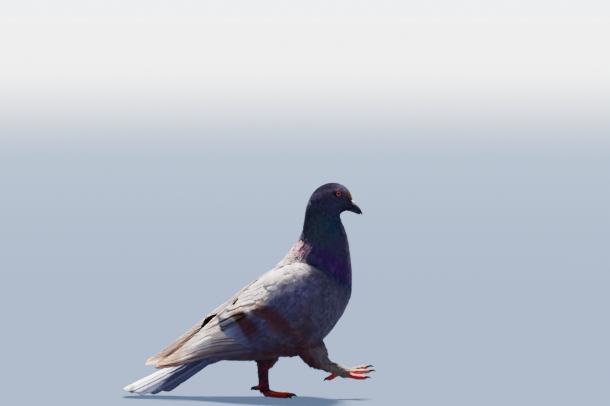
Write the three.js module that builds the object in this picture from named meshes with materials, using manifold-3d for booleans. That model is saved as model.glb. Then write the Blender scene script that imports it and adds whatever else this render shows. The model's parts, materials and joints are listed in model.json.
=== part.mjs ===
// A feral pigeon (Columba livia) at life size, caught in mid-stride, as a still museum model.
// Millimetres. +X is forwards, +Y the bird's left, +Z up. The origin is on the sole of the standing
// left foot, under the body's mid-plane. The right foot is lifted forwards and the tail clears the floor.
// Body, neck and head are one lofted form parted by thin cuts; wings and tail carry real feather vanes.

import * as THREE from "three";
import Module from "manifold-3d";

const wasm = await Module();
wasm.setup();

// ---------------------------------------------------------------------------------------------
// Driving dimensions

const GAP = 0.3; // clearance between neighbouring nodes
const HALF_GAP = GAP / 2;
const LEFT = 1; // sign of Y on the bird's left
const RIGHT = -1; // sign of Y on the bird's right
const VANE_THICKNESS = 1.2; // a feather vane at its edges
const CAMBER = 0.25; // how far a vane swells over its shaft
const SHINGLE = 0.09; // how far a vane rises across its width, so that its neighbour slips under it

// ---------------------------------------------------------------------------------------------
// Curves and lofts

// Catmull-Rom through evenly spaced values, going straight on past both ends.
function spline(values, t) {
  const last = values.length - 1;
  const place = t * last;
  if (place <= 0) return values[0] + (values[1] - values[0]) * place;
  if (place >= last) return values[last] + (values[last] - values[last - 1]) * (place - last);
  const i = Math.floor(place);
  const f = place - i;
  const a = values[Math.max(i - 1, 0)];
  const b = values[i];
  const c = values[i + 1];
  const d = values[Math.min(i + 2, last)];
  const square = 2 * a - 5 * b + 4 * c - d;
  const cube = 3 * b - a - 3 * c + d;
  return b + 0.5 * f * (c - a + f * (square + f * cube));
}

// A closed solid through rings of equally many points, flat at both ends.
function loft(rings) {
  const sides = rings[0].length;
  const places = rings.flat().flatMap((p) => [p.x, p.y, p.z]);
  const faces = [];
  for (let r = 0; r + 1 < rings.length; r++)
    for (let k = 0; k < sides; k++) {
      const a = r * sides + k;
      const b = r * sides + ((k + 1) % sides);
      faces.push(a, b, b + sides, a, b + sides, a + sides);
    }
  const end = (rings.length - 1) * sides;
  for (let k = 1; k + 1 < sides; k++) faces.push(0, k + 1, k, end, end + k, end + k + 1);
  const geometry = new THREE.BufferGeometry();
  geometry.setAttribute("position", new THREE.Float32BufferAttribute(places, 3));
  geometry.setIndex(faces);
  return solid(geometry);
}

// A geometry as a solid with its faces pointing out.
function solid(geometry) {
  const triVerts = new Uint32Array(geometry.index.array);
  const vertProperties = new Float32Array(geometry.attributes.position.array);
  const made = new wasm.Manifold(new wasm.Mesh({ numProp: 3, vertProperties, triVerts }));
  if (made.volume() >= 0) return made;
  const turned = triVerts.slice().reverse();
  return new wasm.Manifold(new wasm.Mesh({ numProp: 3, vertProperties, triVerts: turned }));
}

// An ellipsoid at a place, its long axis tipped in the XZ plane by a pitch in degrees.
function ellipsoid([x, y, z], [rx, ry, rz], pitch = 0, detail = 14) {
  const rings = [];
  const across = new THREE.Vector3(0, 1, 0);
  const turn = new THREE.Matrix4().makeRotationAxis(across, THREE.MathUtils.degToRad(pitch));
  for (let i = 0; i <= detail; i++) {
    const polar = THREE.MathUtils.lerp(0.04, Math.PI - 0.04, i / detail);
    const ring = [];
    for (let k = 0; k < detail; k++) {
      const turnAngle = (2 * Math.PI * k) / detail;
      const p = new THREE.Vector3(
        rx * Math.cos(polar),
        ry * Math.sin(polar) * Math.cos(turnAngle),
        rz * Math.sin(polar) * Math.sin(turnAngle),
      );
      ring.push(p.applyMatrix4(turn).add(new THREE.Vector3(x, y, z)));
    }
    rings.push(ring);
  }
  return loft(rings);
}

// A form given by its outline from the side: at each station an upper point, a lower point, a half
// width, and where the widest line lies between them (from -1, low, to 1, high).
function profileRing(stations, t, sides, grow) {
  const at = (pick) => spline(stations.map(pick), t);
  const upper = new THREE.Vector2(at((s) => s.upper[0]), at((s) => s.upper[1]));
  const lower = new THREE.Vector2(at((s) => s.lower[0]), at((s) => s.lower[1]));
  const centre = upper.clone().add(lower).multiplyScalar(0.5);
  const reach = upper.clone().sub(lower).multiplyScalar(0.5);
  const half = Math.max(at((s) => s.half), 0.05) + grow;
  const widest = at((s) => s.widest ?? 0);
  reach.setLength(reach.length() + grow);
  const ring = [];
  for (let k = 0; k < sides; k++) {
    const angle = (2 * Math.PI * k) / sides;
    const out = Math.sin(angle);
    const up = Math.cos(angle) + widest * out * out;
    ring.push(
      new THREE.Vector3(centre.x + reach.x * up, half * out, centre.y + reach.y * up),
    );
  }
  return ring;
}

function profileLoft(stations, { sides, samples, grow = 0 }) {
  const rings = [];
  for (let i = 0; i <= samples; i++) rings.push(profileRing(stations, i / samples, sides, grow));
  return loft(rings);
}

// A limb along a path of [x, y, z, half width, half height], its height kept square to the path.
function limb(path, { sides = 10, samples = 10, grow = 0, ripple = 0, waves = 0 } = {}) {
  const at = (i, t) => spline(path.map((p) => p[i]), t);
  const place = (t) => new THREE.Vector3(at(0, t), at(1, t), at(2, t));
  const step = 0.01;
  const rings = [];
  for (let i = 0; i <= samples; i++) {
    const t = i / samples;
    const along = place(t + step).sub(place(t - step)).normalize();
    const across = new THREE.Vector3(-along.y, along.x, 0);
    if (across.length() < 0.2) across.set(0, 1, 0);
    across.normalize();
    const above = new THREE.Vector3().crossVectors(along, across).normalize();
    const swell = 1 + ripple * Math.cos(2 * Math.PI * waves * t);
    const ring = [];
    for (let k = 0; k < sides; k++) {
      const angle = (2 * Math.PI * (k + 0.5)) / sides;
      const p = place(t);
      p.addScaledVector(across, (at(3, t) * swell + grow) * Math.cos(angle));
      p.addScaledVector(above, (at(4, t) * swell + grow) * Math.sin(angle));
      ring.push(p);
    }
    rings.push(ring);
  }
  return loft(rings);
}

const join = (pieces) => wasm.Manifold.union(pieces);

const biggestPiece = (made) =>
  made.decompose().reduce((best, piece) => (piece.volume() > best.volume() ? piece : best));

// The largest closed surface alone, also where a smaller one only touches it at a point.
function largest(made) {
  const mesh = biggestPiece(made).getMesh();
  mesh.merge();
  return biggestPiece(new wasm.Manifold(mesh));
}

// ---------------------------------------------------------------------------------------------
// Body, neck and head: one form from the root of the tail to the root of the bill

const BODY = [
  { upper: [-74, 62], lower: [-66, 45], half: 7 },
  { upper: [-60, 74], lower: [-50, 41], half: 15, widest: 0.1 },
  { upper: [-42, 88], lower: [-30, 39.5], half: 24, widest: 0.1 },
  { upper: [-24, 104], lower: [-8, 40.5], half: 29.5, widest: 0.1 },
  { upper: [-8, 121], lower: [14, 43.5], half: 31.5, widest: 0.05 },
  { upper: [6, 136], lower: [37.5, 47], half: 31, widest: 0 },
  { upper: [17, 148], lower: [60, 64], half: 29.5, widest: -0.05 },
  { upper: [26, 159.5], lower: [77, 86], half: 27, widest: -0.1 },
  { upper: [32.5, 169], lower: [87, 108], half: 24.5, widest: -0.1 },
  { upper: [36.5, 178], lower: [88.6, 129], half: 22, widest: -0.1 },
  { upper: [38.2, 187], lower: [87, 150], half: 19.2, widest: -0.05 },
  { upper: [39.8, 196], lower: [83.5, 170.5], half: 16.8 },
  { upper: [41.6, 205], lower: [77.6, 187], half: 15 },
  { upper: [45.2, 214.4], lower: [76.6, 194.2], half: 14.2 },
  { upper: [53, 222.9], lower: [79, 197], half: 13.4, widest: -0.05 },
  { upper: [62.5, 227.5], lower: [82, 198.2], half: 12.6, widest: -0.1 },
  { upper: [72.4, 228], lower: [84.5, 198.6], half: 11.4, widest: -0.15 },
  { upper: [81, 224.5], lower: [87, 198.8], half: 9.4, widest: -0.2 },
  { upper: [86.6, 218], lower: [89, 199], half: 7, widest: -0.2 },
  { upper: [89, 211], lower: [90.4, 199.4], half: 4.6, widest: -0.1 },
];
const BODY_SIDES = 24;
const BODY_SAMPLES = 36;

// Cuts across the neck, each a point on the cut and the direction towards the head, in side view.
const NECK_ROOT = { point: [55, 148], towards: [0.42, 0.91] };
const HEAD_ROOT = { point: [60, 199.5], towards: [0.5, 0.87] };

const wholeBody = profileLoft(BODY, { sides: BODY_SIDES, samples: BODY_SAMPLES });
const bodyRoom = profileLoft(BODY, { sides: BODY_SIDES, samples: BODY_SAMPLES, grow: GAP });

// Half width of the body at a point of the side view, nothing beside the body.
function bodyHalf(x, z) {
  const steps = 160;
  const at = (pick, t) => spline(BODY.map(pick), t);
  let before = null;
  for (let i = 0; i <= steps; i++) {
    const t = i / steps;
    const [lx, lz] = [0, 1].map((k) => at((s) => s.lower[k], t));
    const [ux, uz] = [0, 1].map((k) => at((s) => s.upper[k], t));
    const cross = (ux - lx) * (z - lz) - (uz - lz) * (x - lx);
    const share = ((x - lx) * (ux - lx) + (z - lz) * (uz - lz)) / ((ux - lx) ** 2 + (uz - lz) ** 2);
    if (before && Math.sign(cross) !== Math.sign(before.cross) && share > 0 && share < 1) {
      const up = 2 * share - 1;
      const widest = at((s) => s.widest ?? 0, t);
      const level = up - widest * (1 - up * up); // close enough for the small shifts used here
      return at((s) => s.half, t) * Math.sqrt(Math.max(0, 1 - level * level));
    }
    before = { cross };
  }
  return 0;
}

// The part of a solid on the far side (1) or near side (-1) of a cut, half a gap clear of it.
function beyond(made, cut, side) {
  const [dx, dz] = cut.towards;
  const size = Math.hypot(dx, dz);
  const offset = (cut.point[0] * dx + cut.point[1] * dz) / size;
  return made.trimByPlane([(side * dx) / size, 0, (side * dz) / size], side * offset + HALF_GAP);
}

// ---------------------------------------------------------------------------------------------
// Eyes, lids and bill

const EYE = { place: [73.9, 8.5, 216.9], radius: 4.3 };
const LID = { radius: 3.4, tube: 0.75, out: 3.1, facing: [0.2, 1, 0.05] };

const UPPER_BILL = [
  { upper: [83, 209.6], lower: [81.5, 203.6], half: 4.4 },
  { upper: [89.2, 207.8], lower: [86.6, 202.1], half: 3.8 },
  { upper: [93.8, 205], lower: [90.9, 200.1], half: 3 },
  { upper: [97.4, 201.4], lower: [94.9, 197.7], half: 2.3 },
  { upper: [99.7, 197.3], lower: [98, 195.4], half: 1.4 },
  { upper: [100.3, 194.3], lower: [99.6, 193.8], half: 0.4 },
];
const LOWER_BILL = [
  { upper: [81.3, 203.1], lower: [82, 199.2], half: 4.1 },
  { upper: [86.4, 201.6], lower: [86.6, 198.3], half: 3.5 },
  { upper: [90.7, 199.6], lower: [90.6, 197.1], half: 2.7 },
  { upper: [94.6, 197.2], lower: [94.2, 195.7], half: 1.9 },
  { upper: [97.4, 195.2], lower: [97, 194.5], half: 0.8 },
];
const CERE_LOBE = { place: [88.4, 1.7, 207.6], radii: [4.1, 2.3, 2.1], pitch: 33 };
const NOSTRIL = { place: [92.2, 3.1, 204], radii: [1.7, 0.8, 0.45], pitch: 36 };
const GAPE = { place: [83.5, 0, 202.8], radii: [6.2, 9, 0.35], pitch: 12 };

const mirrored = ([x, y, z], side) => [x, side * y, z];
const eyeBall = (side, grow = 0) =>
  ellipsoid(mirrored(EYE.place, side), new Array(3).fill(EYE.radius + grow), 0, 9);

// The ring of bare skin that rims an eye.
function lidRing(side) {
  const facing = new THREE.Vector3(...mirrored(LID.facing, side)).normalize();
  const centre = new THREE.Vector3(...mirrored(EYE.place, side)).addScaledVector(facing, LID.out);
  const turn = new THREE.Quaternion().setFromUnitVectors(new THREE.Vector3(0, 0, 1), facing);
  const ringSteps = 11;
  const tubeSides = 4;
  const places = [];
  const faces = [];
  for (let i = 0; i < ringSteps; i++)
    for (let k = 0; k < tubeSides; k++) {
      const round = (2 * Math.PI * i) / ringSteps;
      const angle = (2 * Math.PI * k) / tubeSides;
      const reach = LID.radius + LID.tube * Math.cos(angle);
      const p = new THREE.Vector3(reach * Math.cos(round), reach * Math.sin(round), 0);
      p.z = LID.tube * Math.sin(angle);
      places.push(...p.applyQuaternion(turn).add(centre).toArray());
      const a = i * tubeSides + k;
      const b = i * tubeSides + ((k + 1) % tubeSides);
      const next = tubeSides * ringSteps;
      faces.push(a, b, (b + tubeSides) % next, a, (b + tubeSides) % next, (a + tubeSides) % next);
    }
  const geometry = new THREE.BufferGeometry();
  geometry.setAttribute("position", new THREE.Float32BufferAttribute(places, 3));
  geometry.setIndex(faces);
  return solid(geometry);
}

const billSizes = { sides: 10, samples: 9 };
const upperBill = (grow = 0) => profileLoft(UPPER_BILL, { ...billSizes, grow });
const lowerBill = (grow = 0) => profileLoft(LOWER_BILL, { ...billSizes, grow });

function makeHead() {
  const lidded = join([beyond(wholeBody, HEAD_ROOT, 1), lidRing(LEFT), lidRing(RIGHT)]);
  const room = join([eyeBall(LEFT, GAP), eyeBall(RIGHT, GAP), upperBill(GAP), lowerBill(GAP)]);
  return lidded.subtract(room).subtract(ellipsoid(GAPE.place, GAPE.radii, GAPE.pitch, 7));
}

function makeUpperBill() {
  const slits = [LEFT, RIGHT].map((side) =>
    ellipsoid(mirrored(NOSTRIL.place, side), NOSTRIL.radii, NOSTRIL.pitch, 7),
  );
  return upperBill().subtract(join(slits));
}

// Two pale lobes that swell over the root of the bill.
function makeCere() {
  const lobes = [LEFT, RIGHT].map((side) =>
    ellipsoid(mirrored(CERE_LOBE.place, side), CERE_LOBE.radii, CERE_LOBE.pitch, 9),
  );
  return join(lobes).subtract(upperBill(GAP)).subtract(bodyRoom);
}

// ---------------------------------------------------------------------------------------------
// Sheets: curved surfaces that feathers lie on, and the vanes on them

// A point of a sheet pushed out along its outward normal, and the partial slopes there.
function onSheet(sheet, u, v, out = 0) {
  const step = 0.004;
  const { at, outward } = sheet;
  const slopeU = at(u + step, v).sub(at(u - step, v)).divideScalar(2 * step);
  const slopeV = at(u, v + step).sub(at(u, v - step)).divideScalar(2 * step);
  const normal = new THREE.Vector3().crossVectors(slopeU, slopeV).normalize();
  normal.multiplyScalar(outward);
  return { place: at(u, v).addScaledVector(normal, out), slopeU, slopeV, normal };
}

// How wide a feather is along its length, as a share of its full width.
function vaneOutline(along, bluntness) {
  const shaft = THREE.MathUtils.smoothstep(along, -0.35, 0.35);
  const tip = Math.max(0, (along - bluntness) / (1 - bluntness));
  return shaft * Math.sqrt(Math.max(0.06, 1 - tip * tip * 0.97));
}

// A feather from root to tip, both [u, v] on the sheet. lift is how far its upper face stands off
// the sheet at the root and at the tip, and tilt raises its lower edge over the feather below.
function vane(sheet, root, tip, shape) {
  const { width, lift, bluntness, steps, tilt = 0 } = shape;
  const rings = [];
  for (let i = 0; i <= steps; i++) {
    const along = Math.sin((Math.PI / 2) * (i / steps)) * 0.35 + (i / steps) * 0.65;
    const u = THREE.MathUtils.lerp(root[0], tip[0], along);
    const v = THREE.MathUtils.lerp(root[1], tip[1], along);
    const { slopeU, slopeV, normal } = onSheet(sheet, u, v);
    const ahead = slopeU.clone().multiplyScalar(tip[0] - root[0]);
    ahead.addScaledVector(slopeV, tip[1] - root[1]).normalize();
    const across = new THREE.Vector3().crossVectors(normal, ahead);
    if (across.dot(slopeV) < 0) across.negate();
    const uu = slopeU.dot(slopeU);
    const vv = slopeV.dot(slopeV);
    const uv = slopeU.dot(slopeV);
    const det = uu * vv - uv * uv;
    const du = (across.dot(slopeU) * vv - across.dot(slopeV) * uv) / det;
    const dv = (across.dot(slopeV) * uu - across.dot(slopeU) * uv) / det;
    const half = (width / 2) * vaneOutline(along, bluntness);
    const top = THREE.MathUtils.lerp(lift[0], lift[1], along);
    const columns = [-1, 0, 1].map((side) => {
      const spot = [u + du * half * side, v + dv * half * side];
      const height = top - tilt * half * side + (side === 0 ? CAMBER : 0);
      return [onSheet(sheet, ...spot, height), onSheet(sheet, ...spot, height - VANE_THICKNESS)];
    });
    rings.push([...columns.map((c) => c[0].place), ...columns.map((c) => c[1].place).reverse()]);
  }
  return loft(rings);
}

// ---------------------------------------------------------------------------------------------
// Tail: twelve feathers folded into a roof, the middle pair on top

const TAIL = {
  root: [-46, 66], // crest at the roots, in side view
  tip: [-154, 9], // crest at the tips
  sag: 2, // how far the crest bows down between them
  half: [13, 23], // half width of the roof at root and tip
  drop: [22, 29], // how far its eaves hang below the crest
  pairs: 6,
  width: 15,
  middleReach: 1,
  outerReach: 0.62, // the eaves end sooner, level with the floor
  layer: 0.4, // each feather lies this much under its inner neighbour
};

function tailPoint(u, v) {
  const angle = (v - 0.5) * Math.PI * 0.94;
  const half = THREE.MathUtils.lerp(...TAIL.half, u);
  const drop = THREE.MathUtils.lerp(...TAIL.drop, u);
  const bow = TAIL.sag * Math.sin(Math.PI * THREE.MathUtils.clamp(u, 0, 1));
  return new THREE.Vector3(
    THREE.MathUtils.lerp(TAIL.root[0], TAIL.tip[0], u),
    half * Math.sin(angle),
    THREE.MathUtils.lerp(TAIL.root[1], TAIL.tip[1], u) - drop * (1 - Math.cos(angle)) - bow,
  );
}

const tailSheet = { at: tailPoint, outward: -1 };

function tailFeather(side, pair) {
  const share = pair / (TAIL.pairs - 1);
  const place = 0.5 + side * (0.035 + 0.4 * share);
  const reach = THREE.MathUtils.lerp(TAIL.middleReach, TAIL.outerReach, share ** 2);
  const lift = -TAIL.layer * (pair + (side === RIGHT ? 0.4 : 0));
  return vane(
    tailSheet,
    [0, 0.5 + (place - 0.5) * 0.75],
    [reach, place],
    { width: TAIL.width, lift: [lift, lift], bluntness: 0.9, steps: 3 },
  );
}

// The small feathers above and below the tail's root close the roof into one body.
const TAIL_COVERTS = [
  { upper: [-40, 70], lower: [-36, 42], half: 12 },
  { upper: [-58, 61], lower: [-56, 37], half: 12.5 },
  { upper: [-76, 50.5], lower: [-76, 32], half: 11 },
  { upper: [-92, 40.5], lower: [-94, 31], half: 6 },
  { upper: [-103, 34], lower: [-104, 31.5], half: 1.5 },
];

const tailCoverts = (grow = 0) => profileLoft(TAIL_COVERTS, { sides: 14, samples: 7, grow });

function makeTail() {
  const pieces = [tailCoverts()];
  for (let pair = 0; pair < TAIL.pairs; pair++)
    for (const side of [LEFT, RIGHT]) pieces.push(tailFeather(side, pair));
  return join(pieces);
}

// The room the tail takes up under the wings, a smooth roof just clear of its feathers.
function tailRoom() {
  const rings = [];
  for (let i = 0; i <= 8; i++) {
    const u = THREE.MathUtils.lerp(0, 1.04, i / 8);
    const shares = Array.from({ length: 9 }, (_, k) => THREE.MathUtils.lerp(-0.04, 1.04, k / 8));
    const above = shares.map((v) => onSheet(tailSheet, u, v, 0.35 + GAP).place);
    const below = shares.map((v) => onSheet(tailSheet, u, v, -6).place);
    rings.push([...above, ...below.reverse()]);
  }
  return join([loft(rings), tailCoverts(GAP)]);
}

// ---------------------------------------------------------------------------------------------
// Wings: folded along the body, primaries below, then secondaries and two rows of coverts

// Stations from the shoulder to the wing tip: lower and upper edge in side view, and the least
// distance from the mid-plane at the lower edge and at the upper edge. Over the body the wing lies on
// the body instead, and it swells over the arm.
const WING = [
  { lower: [75, 92], upper: [75, 124], out: [14, 12] },
  { lower: [61, 69], upper: [62, 139], out: [18, 10] },
  { lower: [41, 58.5], upper: [38, 148], out: [20, 5] },
  { lower: [18, 53], upper: [10, 139], out: [22, 3] },
  { lower: [-6, 46.5], upper: [-13, 121], out: [22, 2] },
  { lower: [-30, 41], upper: [-36, 102], out: [21.5, 1.5] },
  { lower: [-55, 37.5], upper: [-60, 82], out: [20.5, 2] },
  { lower: [-81, 34.5], upper: [-84, 60], out: [18.5, 3.5] },
  { lower: [-104, 32.5], upper: [-105, 43.5], out: [15.5, 7] },
  { lower: [-122, 31], upper: [-122, 34], out: [11, 9] },
];
const WING_ROWS = 8; // places across the wing where its distance from the mid-plane is worked out
const ARM = { swell: 5.5, from: 0, full: 0.2, thinning: 0.18, to: 0.5 };

// The left wing is carried a little higher and reaches further back than the right.
const POISE = { [LEFT]: { rise: 2, back: 13 }, [RIGHT]: { rise: 0, back: 0 } };

const WING_OUT = WING.map(({ lower, upper, out }) =>
  Array.from({ length: WING_ROWS + 1 }, (_, j) => {
    const v = j / WING_ROWS;
    const least = THREE.MathUtils.lerp(out[0], out[1], v) + 3 * Math.sin(Math.PI * v) * (out[0] / 22);
    const x = THREE.MathUtils.lerp(lower[0], upper[0], v);
    const over = bodyHalf(x, THREE.MathUtils.lerp(lower[1], upper[1], v)) + 0.8;
    return 0.5 * (least + over + Math.hypot(least - over, 3));
  }),
);

// How far the wing swells over its arm.
function armSwell(u, v) {
  const front = THREE.MathUtils.smoothstep(u, ARM.from, ARM.full);
  const back = 1 - THREE.MathUtils.smoothstep(u, ARM.thinning, ARM.to);
  const round = Math.sqrt(Math.max(0, 1 - (2 * THREE.MathUtils.clamp(v, 0, 1) - 1) ** 4));
  return ARM.swell * front * back * round;
}

function wingSheet(side) {
  const { rise, back } = POISE[side];
  const at = (u, v) => {
    const pick = (read) => spline(WING.map(read), u);
    const out = spline(WING_OUT[0].map((_, j) => spline(WING_OUT.map((row) => row[j]), u)), v);
    const loose = THREE.MathUtils.smoothstep(u, 0.35, 0.95);
    const raised = THREE.MathUtils.smoothstep(u, 0.3, 0.5) * (1 - 2 * Math.max(0, u - 0.75));
    return new THREE.Vector3(
      THREE.MathUtils.lerp(pick((s) => s.lower[0]), pick((s) => s.upper[0]), v) - back * loose,
      side * (out + armSwell(u, v)),
      THREE.MathUtils.lerp(pick((s) => s.lower[1]), pick((s) => s.upper[1]), v) + rise * raised,
    );
  };
  return { at, outward: side };
}

// Where a point of the side view lies on the resting wing's sheet.
function wingPlace([x, z]) {
  const sheet = wingSheet(RIGHT);
  let best = { miss: Infinity };
  for (let i = 0; i <= 300; i++) {
    const u = i / 300;
    const low = sheet.at(u, 0);
    const high = sheet.at(u, 1);
    const span = [high.x - low.x, high.z - low.z];
    const size = Math.hypot(...span);
    const v = ((x - low.x) * span[0] + (z - low.z) * span[1]) / size ** 2;
    const miss = Math.hypot(x - low.x - v * span[0], z - low.z - v * span[1]);
    if (miss < best.miss) best = { miss, u, v };
  }
  return [best.u, best.v];
}

// A row of feathers whose roots and tips each follow a curve in side view, from the first (lowest,
// innermost layer) to the last (highest, outermost layer).
const PRIMARIES = {
  count: 7,
  roots: [[20, 57], [8, 66], [-6, 76]],
  tips: [[-119, 32.8], [-107, 41], [-90, 56], [-74, 70]],
  width: [10, 13.4],
  lift: 0.9,
  bluntness: 0.86,
  steps: 3,
};
const SECONDARIES = {
  count: 7,
  roots: [[30, 64], [14, 82], [2, 98], [0, 118]],
  tips: [[-5, 50], [-20, 56.5], [-35, 63], [-49, 70], [-54, 81]],
  width: [16, 21],
  lift: 2,
  bluntness: 0.72,
  steps: 3,
};
const GREATER_COVERTS = {
  count: 7,
  roots: [[46, 72], [30, 90], [18, 108], [14, 126]],
  tips: [[24, 57], [12, 73], [-4, 92], [-20, 109]],
  width: [16, 19],
  lift: 3.1,
  bluntness: 0.66,
  steps: 3,
};
const SETTLE = 1.2; // how much deeper a feather lies at its root than at its tip
const along = (points, t) => [0, 1].map((i) => spline(points.map((p) => p[i]), t));

function featherRow(side, row) {
  const sheet = wingSheet(side);
  const made = [];
  for (let i = 0; i < row.count; i++) {
    const t = i / (row.count - 1);
    made.push(
      vane(sheet, wingPlace(along(row.roots, t)), wingPlace(along(row.tips, t)), {
        width: THREE.MathUtils.lerp(...row.width, t),
        lift: [row.lift - SETTLE, row.lift],
        bluntness: row.bluntness,
        steps: row.steps,
        tilt: SHINGLE,
      }),
    );
  }
  return made;
}

// How far along the wing a row's tips lie at each place across it.
function tipsOf(row) {
  const places = Array.from({ length: 9 }, (_, i) => wingPlace(along(row.tips, i / 8)));
  return (v) => {
    let i = 1;
    while (i < 8 && places[i][1] < v) i++;
    const [from, to] = [places[i - 1], places[i]];
    return THREE.MathUtils.lerp(from[0], to[0], THREE.MathUtils.clamp((v - from[1]) / (to[1] - from[1]), 0, 1));
  };
}

// The body of the wing under its feathers: thick over the arm, stepping down from row to row just
// below their faces, so that the vanes' roots and hidden parts are sunk in it.
const CORE = { sunk: 0.2, inner: 1.4, flesh: 2, columns: 8, margin: 0.03 };
const CORE_STATIONS = [
  { row: null, share: 0, height: -0.6 },
  { row: null, share: 0.05, height: 3.2 },
  { row: null, share: 0.12, height: 4.6 },
  { row: GREATER_COVERTS, inset: 0.14, height: 4.4 },
  { row: GREATER_COVERTS, inset: 0.09, height: GREATER_COVERTS.lift },
  { row: GREATER_COVERTS, inset: 0.04, height: GREATER_COVERTS.lift },
  { row: GREATER_COVERTS, inset: 0.012, height: SECONDARIES.lift },
  { row: SECONDARIES, inset: 0.05, height: SECONDARIES.lift },
  { row: SECONDARIES, inset: 0.015, height: PRIMARIES.lift },
  { row: PRIMARIES, inset: 0.09, height: PRIMARIES.lift },
  { row: PRIMARIES, inset: 0.05, height: -0.1 },
];

function wingCore(side) {
  const sheet = wingSheet(side);
  const rings = CORE_STATIONS.map(({ row, share, inset, height }) => {
    const tips = row ? tipsOf(row) : null;
    const outer = [];
    const inner = [];
    for (let k = 0; k <= CORE.columns; k++) {
      const across = k / CORE.columns;
      const v = THREE.MathUtils.lerp(CORE.margin, 1 - CORE.margin, across);
      const u = tips ? tips(v) - inset : share;
      const round = Math.sqrt(Math.max(0, 1 - (2 * across - 1) ** 4));
      const flesh = CORE.inner + armSwell(u, v) + CORE.flesh * round * (1 - THREE.MathUtils.smoothstep(u, 0.15, 0.45));
      outer.push(onSheet(sheet, u, v, (height - CORE.sunk + 0.5) * round - 0.5).place);
      inner.push(onSheet(sheet, u, v, -0.5 - (flesh - 0.5) * (0.2 + 0.8 * round)).place);
    }
    return [...outer, ...inner.reverse()];
  });
  return loft(rings);
}

function makeWing(side) {
  const rows = [PRIMARIES, SECONDARIES, GREATER_COVERTS];
  const pieces = [wingCore(side), ...rows.flatMap((row) => featherRow(side, row))];
  const room = join([bodyRoom, tailRoom(), ...LEGS.map((leg) => thighOf(leg, GAP))]);
  return largest(join(pieces)).subtract(room).trimByPlane([0, side, 0], HALF_GAP);
}

// ---------------------------------------------------------------------------------------------
// Legs: feathered down to the toes in front, scaly red behind

const STANDING = {
  thigh: [[9, 13, 66, 13, 16], [3, 11, 52, 11, 13], [-1.6, 8, 42, 8, 11], [-4, 5.6, 35, 5, 7.6], [-5, 4.4, 30, 3.2, 4.6]],
  shank: [[-4.9, 4, 33, 3, 4.3], [-5.2, 3, 24, 3, 4.6], [-4.8, 2, 15, 3.1, 4.6], [-3.8, 1.4, 8, 4, 4.4], [-0.6, 1, 3.1, 4.8, 4.4], [4, 0.8, 2.2, 4.6, 2.6]],
  toes: {
    inner: [[0, -0.4, 4.4, 2.4, 2.6], [7, -5, 2.3, 2.4, 2.5], [14.5, -9.2, 2, 2.2, 2.3], [20, -12.2, 1.6, 1.7, 1.8]],
    middle: [[1.5, 0.6, 4.6, 2.5, 2.7], [10, 0.8, 2.4, 2.6, 2.7], [18.5, 1, 2.1, 2.4, 2.4], [25.4, 1.2, 1.6, 1.8, 1.8]],
    outer: [[0, 1.6, 4.6, 2.4, 2.6], [7, 6.2, 2.3, 2.4, 2.5], [14, 10.6, 2, 2.2, 2.3], [19.4, 13.8, 1.6, 1.7, 1.8]],
    hallux: [[-4, 1, 8.8, 2.4, 2.4], [-8, 0.6, 9.8, 2.3, 2.3], [-12, 0.2, 9.6, 2.2, 2.2], [-14.6, 0, 9, 1.6, 1.6]],
  },
  claws: {
    inner: [[18.4, -11.3, 2.2, 1.3, 1.4], [22.2, -13.4, 2.1, 0.9, 1], [25, -15, 0.1, 0.5, 0.5]],
    middle: [[23.6, 1.2, 2.2, 1.4, 1.5], [27.6, 1.3, 2.1, 1, 1.1], [30.6, 1.4, 0.1, 0.5, 0.5]],
    outer: [[17.9, 13, 2.2, 1.3, 1.4], [21.6, 15.1, 2.1, 0.9, 1], [24.4, 16.7, 0.1, 0.5, 0.5]],
    hallux: [[-13.4, 0, 9.5, 1.3, 1.4], [-16.6, -0.2, 9.3, 0.9, 1], [-18.4, -0.2, 7.6, 0.25, 0.3]],
  },
};
const LIFTED = {
  thigh: [[36, -15, 72, 12, 17], [45.8, -15, 56, 10.5, 15], [51.6, -14, 44.8, 8.4, 11.2], [58.6, -13, 38.2, 6, 6.4], [64, -12.6, 34.6, 4, 4.6]],
  shank: [[61, -12.8, 36, 4, 4.6], [68, -12.4, 32.6, 3.7, 4.8], [75, -12, 29.8, 3.6, 5], [81, -12, 27.6, 4.2, 5], [86, -12, 26.8, 4.6, 3.8]],
  toes: {
    inner: [[84.5, -10.8, 27.6, 2.3, 2.4], [91, -7.6, 30, 2.2, 2.2], [98, -5, 31.6, 2, 2], [104.6, -3, 32.4, 1.5, 1.6]],
    middle: [[85.5, -12, 27.4, 2.4, 2.6], [93, -12, 28.2, 2.4, 2.3], [101, -12, 28.6, 2.2, 2.1], [107.4, -12, 29, 1.6, 1.7]],
    outer: [[84.5, -13.4, 25.8, 2.4, 2.5], [91, -17.2, 24, 2.4, 2.4], [98, -20.4, 23.4, 2.2, 2.3], [103.6, -22.6, 23.4, 1.6, 1.7]],
    hallux: [[75, -12, 27, 2.3, 2.4], [70.6, -12.2, 24.6, 2.3, 2.3], [66.2, -12.4, 22, 2.2, 2.3], [63.2, -12.6, 20.6, 1.6, 1.6]],
  },
  claws: {
    inner: [[103.4, -3.3, 32.5, 1.2, 1.3], [108.4, -2, 33.6, 0.9, 1], [112.4, -1.2, 32.4, 0.25, 0.3]],
    middle: [[106.2, -12, 29.2, 1.3, 1.4], [110.6, -12, 30, 0.9, 1], [114.4, -12, 28.6, 0.25, 0.3]],
    outer: [[102.4, -22.2, 23.7, 1.3, 1.4], [106, -23.4, 24.2, 0.9, 1], [109, -24.2, 22.6, 0.25, 0.3]],
    hallux: [[64.2, -12.5, 21.4, 1.3, 1.4], [61, -12.7, 20.6, 0.9, 1], [58.8, -12.8, 18.2, 0.25, 0.3]],
  },
};

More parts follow.
